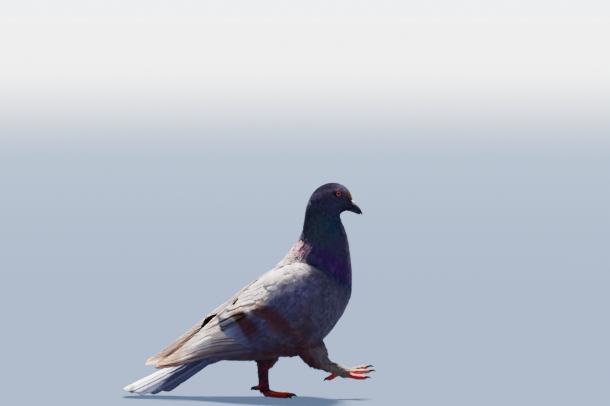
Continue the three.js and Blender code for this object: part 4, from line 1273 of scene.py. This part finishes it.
def flight_markings(finish, x, y, z, wander, chance, along, across, shaft):
    """The wing's colours with cream to peach quills, the cream partly their own and partly painted
    sunlight on the wing's upper side and pinker in front as painted warm light from below; blue-grey lobes
    behind the bars, painted darker above a line on the near wing as shade; and a painted dark shadow where
    a tertial stands off. Also how far the edge under each vane is in the dark."""
    primary = shaft.step(-0.3, -0.4)
    secondary = shaft.near(-0.15, 0.03, 0.01)
    over_tips = shaft.near(-0.1, 0.03, 0.01) * x.step(-55, -52)
    beyond = beside(x, z, *BARS[1][:2]) + wander * 8
    tips = secondary.most(over_tips) * beyond.step(-5.5, -9) * (z + wander * 8).step(88.5, 85)
    clear = beside(x, z, (-94, 44.5), (-35, 74.6))
    # above this line the quills are cream, partly their own pale colour and partly painted sunlight
    light = (clear + across * 2 + wander * 10).step(-8, 2)
    lined = finish.mix(chance.redrawn(9.1), (0.19, 0.125, 0.12), (0.35, 0.25, 0.23))
    lined = finish.mix((clear + wander * 6).step(-9, -15) * 0.7, lined, (0.05, 0.03, 0.06))
    cream = finish.layered(
        lined,
        # pinker in front: painted warm light from below
        (light, finish.mix(x.step(-52, -76), (0.72, 0.5, 0.42), (1.0, 0.85, 0.77))),
        ((x - clear * 0.6 + wander * 16).step(-74, -98) * 0.9, (0.23, 0.108, 0.06)),
        (along.step(0.93, 1.0) * x.step(-92, -104) * 0.5, (0.26, 0.12, 0.07)),
    )
    # painted shade: on the near wing the lobes are nearly black above this line
    shade_edge = beside(x, z, (-48, 72), (-30, 81.6)) + wander * 4
    lobe = finish.mix(x.step(-30, -46), (0.11, 0.08, 0.14), (0.21, 0.19, 0.3))
    lobe = finish.mix(shade_edge.step(-2, 2.5) * y.step(2, 0), lobe, (0.02, 0.02, 0.038))
    # a painted shadow where a tertial stands off, on the near wing only
    ajar, reach, _ = from_line(x, z, (-38, 98.5), (-31.5, 106.5))
    gap_shadow = ajar.near(0, 1.7, 1.1) * reach.step(0, 2) * reach.step(11, 9) * y.step(2, 0)
    colour = finish.layered(
        wing_markings(finish, x, y, z, wander, chance),
        (x.step(-44, -64).most(primary * x.step(-12, -36)), cream),
        (tips * x.step(-16, -30), lobe),
        (gap_shadow, (0.006, 0.004, 0.006)),
    )
    return colour, primary * (1 - light * 0.95) * 0.85 + 0.05


def inner_side(finish, colour, x, y, z, wander):
    """The far wing's inner faces, painted pale and, towards the tip, peach as sunlight shining through
    them on top of the underwing's own pale colour, with a painted contact shadow along the crease and a
    painted black shadow in the opening by the tail.
    """
    inner = finish.attribute("inner")
    # painted sunlight shining through the far wing's inner faces, over the underwing's own pale colour
    lit = inner.step(0.5, 0.95) * y.step(0, 2)
    real_x, _, real_z = finish.split(finish.place())
    # a painted contact shadow along the crease where the far wing meets the near one
    crease = beside(real_x, real_z, (-120, 32.5), (-74, 72)).step(1.9, 0.3) * real_x.step(-68, -76)
    # a painted black shadow in the opening by the tail
    below = beside(x, z, (-58, 82.5), (-46, 87.5)) + wander * 2
    ahead = beside(x, z, (-62.5, 70), (-57.5, 82)) + wander * 2
    tail_gap_shadow = below.step(0.6, -0.6) * ahead.step(0.6, -0.6) * x.step(-44, -48)
    return finish.layered(
        colour,
        (lit * 0.85, finish.mix(x.step(-52, -78), (1.0, 0.82, 0.7), (0.95, 0.57, 0.4))),
        (lit * crease * 0.8, (0.07, 0.03, 0.02)),
        (tail_gap_shadow * inner.step(0.0, 0.3) * y.step(0, 2), (0.001, 0.001, 0.001)),
    )


LONG_BARBS = (110, 16)
QUILL_ROUGHNESS = 0.62


def flight_finish(name, tail=False):
    """Long feathers: streaked barbs, a dark shaft line, a pale outer edge and a shaded inner one."""
    sheen, gleam, through = (0.05, 0.3, 0.25) if tail else (0.0, 0.1, 0.45)
    finish = Finish(name, QUILL_ROUGHNESS, sheen, gleam=gleam, through=through)
    finish.set("Subsurface Scale", 0.0015 if tail else 0.002)
    chart = finish.attribute("chart", vector=True)
    x, y, z = finish.split(chart)
    chance, along, across, shaft = finish.attributes("chance", "along", "across", "shaft")
    wander = finish.noise(chart, 0.08, 3.0) - 0.5
    if tail:
        colour, low = tail_markings(finish, x, z, wander, chance, along, across)
        shaded = 0.12 + low * 0.6
    else:
        colour, shaded = flight_markings(finish, x, y, z, wander, chance, along, across, shaft)
    streak = finish.combined(across * 2.0, along * 60.0 - across.absolute() * 14.0, chance * 50.0)
    barb = finish.noise(streak, 1.6, 3.0)
    colour = finish.tinted(barb.step(0.35, 0.75) * 0.35, colour, (0.6, 0.58, 0.62))
    colour = finish.tinted((across - shaft).near(0, 0.09, 0.03) * 0.4, colour, (0.45, 0.4, 0.45))
    edge = across.step(0.8, 1.0) * along.step(0.98, 0.9)
    colour = finish.tinted(edge * 0.4, colour, (1.5, 1.42, 1.4))
    # painted shade along each vane's inner edge, where it lies under the next
    colour = finish.mix(across.step(-0.6, -0.95) * shaded, colour, (0.028, 0.022, 0.045))
    if not tail:
        colour = inner_side(finish, colour, x, y, z, wander)
        _, green, _ = finish.split(colour)
        dull = 1 - QUILL_ROUGHNESS  # what is dark has no gloss
        finish.set("Roughness", QUILL_ROUGHNESS + green.step(0.05, 0.015) * dull)
    finish.set("Base Color", colour)
    finish.bump(finish.barbs(across, along, *LONG_BARBS) * 0.4 + barb, BARB_DEPTH, 0.6)
    return finish.material


wing_finish = flight_finish("wing_feathers")
TIERS = (("flight_feathers_", ("primary", "secondary", "tertial"), 0),
         ("wing_coverts_", ("greater_covert", "median_covert", "scapular"), 5))
for side, suffix, seed in ((LEFT, "left", 31), (RIGHT, "right", 32)):
    for tier, rows, further in TIERS:
        feather_piece(tier + suffix, wing_feathers(side, rows, seed + further), wing_chart(side),
                      wing_finish, ["wing_" + suffix])


def covert_finish():
    """Small coverts: the wing's colours, with a lighter rim round each feather."""
    finish = Finish("small_coverts", 0.8, 0.05, gleam=0.25)
    chance, along, across = finish.attributes("chance", "along", "across")
    place = finish.feather_place()
    x, y, z = finish.split(place)
    wander = finish.noise(place, 0.08, 3.0) - 0.5
    colour = wing_markings(finish, x, y, z, wander, chance)
    collar = (x + wander * 10).step(8, 20) * z.step(136, 142) * chance.redrawn(5.3).step(0.3, 0.7)
    colour = finish.mix(collar * 0.3, colour, (0.1, 0.075, 0.09))
    shade = chance.redrawn(11.9) * 0.6 + across.absolute().step(0.14, 0.0) * 0.2
    colour = finish.tinted(shade, colour, (0.62, 0.6, 0.66))
    rim = along.step(0.86, 0.98).most(across.absolute().step(0.75, 0.98) * along.step(0.4, 0.8))
    finish.set("Base Color", finish.tinted(rim * 0.75, colour, (2.4, 2.3, 2.1)))
    finish.bump(finish.barbs(across, along, *SMALL_BARBS), BARB_DEPTH, 0.5)
    return finish.material


coat("coat_shoulders", "cover_wing", BROAD_VANE, 2.7, 0.66, 1.7, 16, covert_finish(),
     ["wing_left", "wing_right"], "wing_feathers", 0.08)

# ---------------------------------------------------------------------------------------------
# Tail: twelve long feathers folded into a roof, the middle pair on top, with soft coverts over and
# under their roots.

# The fan: root and tip in the side view and the sag between them, and at root and tip its half
# width and how far its edges hang. Then its feathers.
TAIL = {"root": (-46, 66), "tip": (-154, 9), "sag": 2, "half": (13, 23), "drop": (22, 29),
        "pairs": 6, "width": 15, "outer_reach": 0.62, "layer": 0.55}


# The tail's own sheet: u from root to tip, v across from side to side.
def tail_at(u, v):
    angle = (v - 0.5) * np.pi * 0.94
    half, drop = lerp(*TAIL["half"], u), lerp(*TAIL["drop"], u)
    bow = TAIL["sag"] * np.sin(np.pi * np.clip(u, 0, 1))
    x = lerp(TAIL["root"][0], TAIL["tip"][0], u)
    z = lerp(TAIL["root"][1], TAIL["tip"][1], u) - drop * (1 - np.cos(angle)) - bow
    return np.stack([x, half * np.sin(angle), z], axis=1)


def tail_feathers():
    """The tail's pairs of feathers, each under the one above it and reaching less far."""
    draw = np.random.default_rng(41)
    made = []
    for pair in range(TAIL["pairs"]):
        share = pair / (TAIL["pairs"] - 1)
        for side in (LEFT, RIGHT):
            place = 0.5 + side * (0.035 + 0.4 * share)
            reach = lerp(1, TAIL["outer_reach"], share**2) * draw.uniform(0.985, 1.0)
            lift = -TAIL["layer"] * (pair + (0.4 if side == RIGHT else 0))
            made.append(quill((tail_at, -1), (0, 0.5 + (place - 0.5) * 0.75), (reach, place),
                              TAIL["width"], lift, 0.9, 0.25 * side * share, 30, draw,
                              tilt=0.0, ragged=0.018, margin=(-0.2, 1.2)))
    return made


feather_piece("tail_feathers", tail_feathers(), lambda verts: verts, flight_finish("tail_feathers", True),
              ["tail"])
coat("tail_coverts", "cover_tail", BROAD_VANE, 3.2, 0.5, 2.0, 17, body_down,
     ["tail"], "tail_feathers", 0.2)

# ---------------------------------------------------------------------------------------------
# Eyes: a glossy ball with a black pupil in a reddish iris, in a ring of bare skin folded round it.
# The ball sits in the bare patch of the hide, and the folds lie round it in tiers.


def ball(centre, radius, detail):
    round_it = 2 * np.pi * np.arange(detail * 2) / (detail * 2)
    polar, turn = pairs(np.linspace(0.01, np.pi - 0.01, detail), round_it)
    ring = np.stack([np.cos(polar), np.sin(polar) * np.cos(turn), np.sin(polar) * np.sin(turn)], axis=1)
    return tube((np.array(centre) + ring * radius).reshape(detail, detail * 2, 3))


def mirrored(point, side):
    return np.array(point, float) * (1, side, 1)


def eye_finish():
    finish = Finish("eye", 0.12, coat=0.06, gleam=0.1)
    place = finish.place()
    x, y, z = finish.split(place)
    front = np.array(EYE["place"]) + unit(np.array(EYE["facing"], float)) * EYE["radius"]
    flat = finish.combined(x - front[0], (y.absolute() - front[1]) * 0.35, z - front[2])
    reach = finish.distance(flat, (0, 0, 0))
    iris = finish.mix(finish.noise(place, 2.2, 3.0), (0.3, 0.045, 0.05), (0.46, 0.12, 0.11))
    finish.set("Base Color", finish.layered(
        iris,
        (reach.step(2.0, 2.7), (0.12, 0.012, 0.014)),
        (reach.step(1.5, 1.36), (0.003, 0.003, 0.003)),
    ))
    return finish.material


def lid_finish():
    finish = Finish("eye_ring", 0.85, gleam=0.05)
    ripple = finish.noise(finish.place(), 1.4, 3.0)
    finish.set("Base Color", finish.mix(ripple, (0.014, 0.003, 0.006), (0.04, 0.008, 0.013)))
    finish.bump(ripple, 0.0002, 0.8)
    return finish.material


eye_glass, bare_skin = eye_finish(), lid_finish()
# The folds of the ring: reach, half thickness, and how far out each lies.
LIDS = [(2.75, 0.36, 3.5), (3.3, 0.42, 3.1), (3.9, 0.5, 2.6), (4.55, 0.55, 1.9)]
LID_TURNS, LID_SIDES = 48, 10


def eye_rings(side):
    facing = unit(mirrored(EYE["facing"], side))
    across = unit(np.cross(facing, (0, 0, 1.0)))
    up = np.cross(across, facing)
    parts = []
    for number, (reach, thick, out) in enumerate(LIDS):
        r, k = pairs(np.arange(LID_TURNS), np.arange(LID_SIDES))
        turn, angle = 2 * np.pi * r / LID_TURNS, 2 * np.pi * k / LID_SIDES
        wave = 1 + 0.025 * np.sin(turn * (11 + 4 * number) + number)
        far = (reach + thick * np.cos(angle)) * wave
        centre = mirrored(EYE["place"], side) + facing * out
        points = (centre + across * (far * np.cos(turn))[:, None]
                  + up * (far * 0.94 * np.sin(turn))[:, None]
                  + facing * (thick * 0.9 * np.sin(angle))[:, None])
        row, next_row = r * LID_SIDES, (r + 1) % LID_TURNS * LID_SIDES
        faces = np.stack([row + k, row + (k + 1) % LID_SIDES, next_row + (k + 1) % LID_SIDES,
                          next_row + k], axis=1).tolist()
        parts.append((points, faces))
    return merged(parts)


for side, suffix in ((LEFT, "left"), (RIGHT, "right")):
    eye = made_object("eye_ball_" + suffix, *ball(mirrored(EYE["place"], side), EYE["radius"], 28))
    eye.data.materials.append(eye_glass)
    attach(eye, "root")
    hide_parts("eye_" + suffix)
    rings = made_object("eye_ring_" + suffix, *eye_rings(side))
    rings.data.materials.append(bare_skin)
    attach(rings, "root")
    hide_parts("head")

# ---------------------------------------------------------------------------------------------
# Bill and cere: two slim horn sheaths, the upper hooked over the lower, with slit nostrils under
# the two chalky lobes of the cere.

# Bill stations as the body's: upper x, z, lower x, z, half width, level of the widest line.
UPPER_BILL = [
    (83, 209.6, 81.5, 203.6, 4.4, 0),
    (89.2, 207.8, 86.6, 202.1, 3.8, 0),
    (93.8, 205, 90.9, 200.1, 3, 0),
    (97.4, 201.4, 94.9, 197.7, 2.3, 0),
    (99.7, 197.3, 98, 195.4, 1.4, 0),
    (100.3, 194.3, 99.6, 193.8, 0.4, 0),
]
LOWER_BILL = [
    (81.3, 205.3, 82, 199.0, 4.1, 0),
    (86.6, 203.9, 86.6, 198.0, 3.6, 0),
    (90.9, 201.9, 90.6, 196.8, 2.9, 0),
    (94.9, 199.3, 94.2, 195.4, 2.1, 0),
    (98.1, 196.6, 97.2, 194.4, 1.2, 0),
]
CERE = {"place": (88.5, 2.0, 207.7), "radii": (4.3, 2.7, 2.3), "pitch": 33}
NOSTRIL = {"place": (92.2, 3.1, 204), "radii": (1.9, 0.9, 0.5), "pitch": 36}


def ellipsoid(place, radii, pitch, detail=20):
    points, faces = ball((0, 0, 0), 1.0, detail)
    points = points * np.array(radii)
    turn = math.radians(pitch)
    x = points[:, 0] * math.cos(turn) + points[:, 2] * math.sin(turn)
    z = -points[:, 0] * math.sin(turn) + points[:, 2] * math.cos(turn)
    return np.stack([x, points[:, 1], z], axis=1) + np.array(place), faces


def horn_finish():
    finish = Finish("bill_horn", 0.34, gleam=0.2)
    grain = finish.noise(finish.stretched(finish.place(), (0.5, 1.6, 1.6)), 1.2, 4.0)
    finish.set("Base Color", finish.mix(grain, (0.004, 0.004, 0.006), (0.02, 0.018, 0.024)))
    finish.set("Roughness", 0.36 + grain * 0.22)
    finish.bump(grain, 0.0001, 0.5)
    return finish.material


def cere_finish():
    finish = Finish("cere_skin", 0.75)
    chalk = finish.noise(finish.place(), 1.5, 4.0)
    finish.set("Base Color", finish.mix(chalk, (0.17, 0.145, 0.16), (0.33, 0.295, 0.31)))
    finish.bump(chalk, 0.0003, 0.7)
    return finish.material


def cut(obj, cutter):
    carve = obj.modifiers.new("cut", "BOOLEAN")
    carve.operation = "DIFFERENCE"
    carve.solver = "EXACT"
    carve.object = cutter
    settled(obj)
    bpy.data.objects.remove(cutter)


horn = horn_finish()
upper_bill = made_object("upper_bill", *tube(ringed(profile_at, UPPER_BILL, 48, 32)))
slits, lobes = ([ellipsoid(mirrored(form["place"], side), form["radii"], form["pitch"])
                 for side in (LEFT, RIGHT)] for form in (NOSTRIL, CERE))
cut(upper_bill, made_object("slits", *merged(slits)))
fuller = ringed(profile_at, LOWER_BILL, 40, 28, lambda t, angle: 0.3 + 0 * t)
lower_bill = made_object("lower_bill", *tube(fuller))
cere = remeshed(made_object("cere_lobes", *merged(lobes)), voxel=0.28, factor=0.5, rounds=4)
for piece, node, finish_of, slot_name in ((upper_bill, "bill_upper", horn, "bill"),
                                          (lower_bill, "bill_lower", horn, "bill"),
                                          (cere, "cere", cere_finish(), "cere")):
    piece.data.materials.clear()
    piece.data.materials.append(finish_of)
    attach(piece, "root")
    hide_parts(node)

# ---------------------------------------------------------------------------------------------
# Feet: red scaly toes, ringed with scutes above and padded below, each ending in a black claw.
# The left foot stands flat on the ground, the right one is lifted with its toes ahead.

# Toes and claws along their paths: x, y, z, half width, half height. The left foot stands.
TOES = {
    LEFT: {
        "inner": [(0, -0.4, 4.4, 2.4, 2.6), (7, -5, 2.3, 2.4, 2.5), (14.5, -9.2, 2, 2.2, 2.3),
                  (20, -12.2, 1.6, 1.7, 1.8)],
        "middle": [(1.5, 0.6, 4.6, 2.5, 2.7), (10, 0.8, 2.4, 2.6, 2.7), (18.5, 1, 2.1, 2.4, 2.4),
                   (25.4, 1.2, 1.6, 1.8, 1.8)],
        "outer": [(0, 1.6, 4.6, 2.4, 2.6), (7, 6.2, 2.3, 2.4, 2.5), (14, 10.6, 2, 2.2, 2.3),
                  (19.4, 13.8, 1.6, 1.7, 1.8)],
        "hallux": [(-4, 1, 8.8, 2.4, 2.4), (-8, 0.6, 9.8, 2.3, 2.3), (-12, 0.2, 9.6, 2.2, 2.2),
                   (-14.6, 0, 9, 1.6, 1.6)],
    },
    RIGHT: {
        "inner": [(84.5, -10.8, 27.6, 2.3, 2.4), (91, -7.6, 30, 2.2, 2.2), (98, -5, 31.6, 2, 2),
                  (104.6, -3, 32.4, 1.5, 1.6)],
        "middle": [(85.5, -12, 27.4, 2.4, 2.6), (93, -12, 28.2, 2.4, 2.3), (101, -12, 28.6, 2.2, 2.1),
                   (107.4, -12, 29, 1.6, 1.7)],
        "outer": [(84.5, -13.4, 25.8, 2.4, 2.5), (91, -17.2, 24, 2.4, 2.4), (98, -20.4, 23.4, 2.2, 2.3),
                  (103.6, -22.6, 23.4, 1.6, 1.7)],
        "hallux": [(75, -12, 27, 2.3, 2.4), (70.6, -12.2, 24.6, 2.3, 2.3), (66.2, -12.4, 22, 2.2, 2.3),
                   (63.2, -12.6, 20.6, 1.6, 1.6)],
    },
}
CLAWS = {
    LEFT: {
        "inner": [(18.4, -11.3, 2.2, 1.3, 1.4), (22.2, -13.4, 2.1, 0.9, 1), (25, -15, 0.1, 0.5, 0.5)],
        "middle": [(23.6, 1.2, 2.2, 1.4, 1.5), (27.6, 1.3, 2.1, 1, 1.1), (30.6, 1.4, 0.1, 0.5, 0.5)],
        "outer": [(17.9, 13, 2.2, 1.3, 1.4), (21.6, 15.1, 2.1, 0.9, 1), (24.4, 16.7, 0.1, 0.5, 0.5)],
        "hallux": [(-13.4, 0, 9.5, 1.6, 1.7), (-16.6, -0.2, 9.1, 1.3, 1.5), (-18.4, -0.2, 7.4, 0.5, 0.6)],
    },
    RIGHT: {
        "inner": [(103.4, -3.3, 32.5, 1.2, 1.3), (108.4, -2, 33.6, 0.9, 1),
                  (112.4, -1.2, 32.4, 0.25, 0.3)],
        "middle": [(106.2, -12, 29.2, 1.3, 1.4), (110.6, -12, 30, 0.9, 1),
                   (114.4, -12, 28.6, 0.25, 0.3)],
        "outer": [(102.4, -22.2, 23.7, 1.3, 1.4), (106, -23.4, 24.2, 0.9, 1),
                  (109, -24.2, 22.6, 0.25, 0.3)],
        "hallux": [(64.2, -12.5, 21.4, 1.3, 1.4), (61, -12.7, 20.6, 0.9, 1),
                   (58.8, -12.8, 18.2, 0.25, 0.3)],
    },
}
SCUTES = {"inner": 9, "middle": 11, "outer": 9, "hallux": 6}
TOE_SWELL, CLAW_SWELL = 0.35, 0.6


def toe_relief(scutes):
    """The upper side steps down from scute to scute, and pads swell below."""
    def grow(t, angle):
        plate = 0.2 * (0.5 - (t * scutes) % 1) * np.maximum(0, np.sin(angle)) ** 0.6
        pads = 0.28 * np.abs(np.sin(np.pi * t * 3)) * np.maximum(0, -np.sin(angle))
        return plate + pads + TOE_SWELL

    return grow


def toe_finish():
    """Red scaly skin with dark creases: on the standing foot painted darker down the sides as shade and
    painted orange on top as light, and on top of the lifted foot's inner and middle toes painted pale and
    dark in patches as sunlight."""
    finish = Finish("toe_skin", 0.55, gleam=0.15)
    place = finish.place()
    x, y, _ = finish.split(place)
    above, standing = finish.attribute("above"), x.step(60, 50)
    # painted sunlight in patches on top of the lifted foot's inner and middle toes
    sunlit_top = above.step(-0.9, -0.4) * x.step(83, 89) * y.step(-15.5, -14)
    top_patches = finish.noise(place, 0.35, 3.0).step(0.45, 0.6)
    colour = finish.layered(
        finish.mix(finish.noise(place, 0.5, 3.0), (0.3, 0.004, 0.009), (0.52, 0.018, 0.02)),
        (finish.noise(place, 1.3, 4.0).step(0.55, 0.75) * 0.25, (0.5, 0.36, 0.32)),
        # painted shade down the sides and underside of the standing toes
        (above.step(0.62, 0.1) * standing * 0.9, (0.1, 0.006, 0.014)),
        (sunlit_top * 0.9, finish.mix(top_patches, (0.3, 0.2, 0.14), (0.05, 0.016, 0.012))),
        # painted orange highlight on top of the standing toes
        (above.step(0.55, 0.95) * standing * 0.5, (0.8, 0.2, 0.08)),
    )
    settings = {"feature": "DISTANCE_TO_EDGE"}
    crease = finish.node("ShaderNodeTexVoronoi", settings, {"Vector": place, "Scale": 0.9})
    finish.set("Base Color", finish.mix(crease.step(0.0, 0.12), (0.2, 0.02, 0.018), colour))
    finish.bump(crease.step(0.0, 0.2), 0.0002, 0.6)
    return finish.material


def claw_finish():
    finish = Finish("claw_horn", 0.5, gleam=0.15)
    grain = finish.noise(finish.stretched(finish.place(), (0.4, 2, 2)), 1.5, 3.0)
    finish.set("Base Color", finish.mix(grain, (0.006, 0.005, 0.006), (0.03, 0.025, 0.026)))
    finish.bump(grain, 0.0001, 0.4)
    return finish.material


toe_red, claw_black = toe_finish(), claw_finish()
for side, suffix in ((LEFT, "left"), (RIGHT, "right")):
    toes = [tube(ringed(limb_at, path, 72, 22, toe_relief(SCUTES[toe])))
            for toe, path in TOES[side].items()]
    claws = [tube(ringed(limb_at, path, 16, 14, lambda t, angle: CLAW_SWELL * (1 - t)))
             for path in CLAWS[side].values()]
    for kind, parts, material, slot_name in (("toe", toes, toe_red, "toe_skin"),
                                             ("claw", claws, claw_black, "claw")):
        verts, faces = merged(parts)
        verts[:, 2] = np.maximum(verts[:, 2], 0.0)
        piece = made_object(kind + "s_" + suffix, verts, faces)
        piece.data.materials.append(material)
        write(piece.data, "above", read(piece.data.vertices, "normal", 3)[:, 2])
        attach(piece, "root")
        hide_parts(*[f"{kind}_{toe}_{suffix}" for toe in TOES[side]])

for vane in (FINE_VANE, BROAD_VANE):
    bpy.data.objects.remove(vane)

# ---------------------------------------------------------------------------------------------
# Studio: a wide pale floor under soft light, warm from behind and above, and the camera. Floor and
# backdrop glow a little, so that they stay pale beside the strongly lit back.


FLOOR_SIZE, FLOOR_SIDES, BACKDROP_HEIGHT, BACKDROP_DEPTH = 40000, 96, 3200, 300


def floor_finish():
    finish = Finish("studio_floor", 0.95, gleam=0.0)
    reach = finish.distance(finish.place(), (0, 0, 0))
    colour = finish.mix(reach.step(1000, 5000), (0.028, 0.041, 0.07), (0.038, 0.056, 0.09))
    finish.set("Base Color", finish.mix(reach.step(4500, 15000), colour, (0.33, 0.345, 0.37)))
    finish.set("Emission Color", (0.13, 0.19, 0.33, 1))
    finish.set("Emission Strength", 1.0)
    return finish.material


def backdrop_finish():
    finish = Finish("studio_backdrop", 1.0, gleam=0.0)
    finish.set("Base Color", (0, 0, 0, 1))
    finish.set("Emission Color", (5.1, 5.3, 5.75, 1))
    finish.set("Emission Strength", 1.0)
    return finish.material


turn = np.linspace(0, 2 * np.pi, FLOOR_SIDES, endpoint=False)
rim = np.stack([FLOOR_SIZE * np.cos(turn), FLOOR_SIZE * np.sin(turn), 0 * turn - 0.02], axis=1)
floor = made_object("studio_floor", rim, [list(range(FLOOR_SIDES))], False)
floor.data.materials.append(floor_finish())
wall = [[k, (k + 1) % FLOOR_SIDES, (k + 1) % FLOOR_SIDES + FLOOR_SIDES, k + FLOOR_SIDES]
        for k in range(FLOOR_SIDES)]
edges = np.concatenate([rim * 0.98 - (0, 0, BACKDROP_DEPTH), rim * 0.98 + (0, 0, BACKDROP_HEIGHT)])
backdrop = made_object("studio_backdrop", edges, wall, False)
backdrop.data.materials.append(backdrop_finish())
backdrop.visible_shadow = False
backdrop.visible_glossy = False


def aimed(name, data, place, target):
    made = linked(name, data)
    made.location = place
    made.rotation_euler = (Vector(target) - Vector(place)).to_track_quat("-Z", "Y").to_euler()
    return made


def soft_light(name, place, size, power, colour):
    lamp = bpy.data.lights.new(name, "AREA")
    lamp.shape, lamp.size, lamp.energy, lamp.color = "DISK", size, power, colour
    return aimed(name, lamp, place, (0, 0, 0.12))


sun = bpy.data.lights.new("warm_key", "SUN")
sun.energy, sun.angle, sun.color = 50.0, math.radians(9), (1.0, 0.94, 0.86)
aimed("warm_key", sun, (0.22, 1.15, 3.0), (0, 0, 0))
soft_light("warm_rim", (1.5, 1.9, 0.5), 0.5, 8, (1.0, 0.85, 0.6))
soft_light("front_fill", (1.4, -1.8, 1.3), 1.6, 3, (0.86, 0.9, 1.0))
wing_light = soft_light("left_wing_light", (-0.7, -1.4, 0.5), 0.3, 45, (1.0, 0.86, 0.72))
lit_wing = bpy.data.collections.new("lit_wing")
for name in ("flight_feathers_left", "wing_coverts_left"):
    lit_wing.objects.link(bpy.data.objects[name])
wing_light.light_linking.receiver_collection = lit_wing

world = bpy.data.worlds.new("studio")
world.use_nodes = True
sky = world.node_tree.nodes["Background"].inputs
sky["Color"].default_value, sky["Strength"].default_value = (0.8, 0.88, 1.0, 1), 0.2
bpy.context.scene.world = world

TARGET = (0.0392, 0, 0.2067)
DISTANCE, ELEVATION = 3.592, math.radians(3.7)
view = bpy.data.cameras.new("camera")
view.type, view.lens, view.sensor_width, view.clip_end = "PERSP", 200, 36, 100
away, above = DISTANCE * math.cos(ELEVATION), DISTANCE * math.sin(ELEVATION)
bpy.context.scene.camera = aimed("camera", view, (TARGET[0], -away, TARGET[2] + above), TARGET)
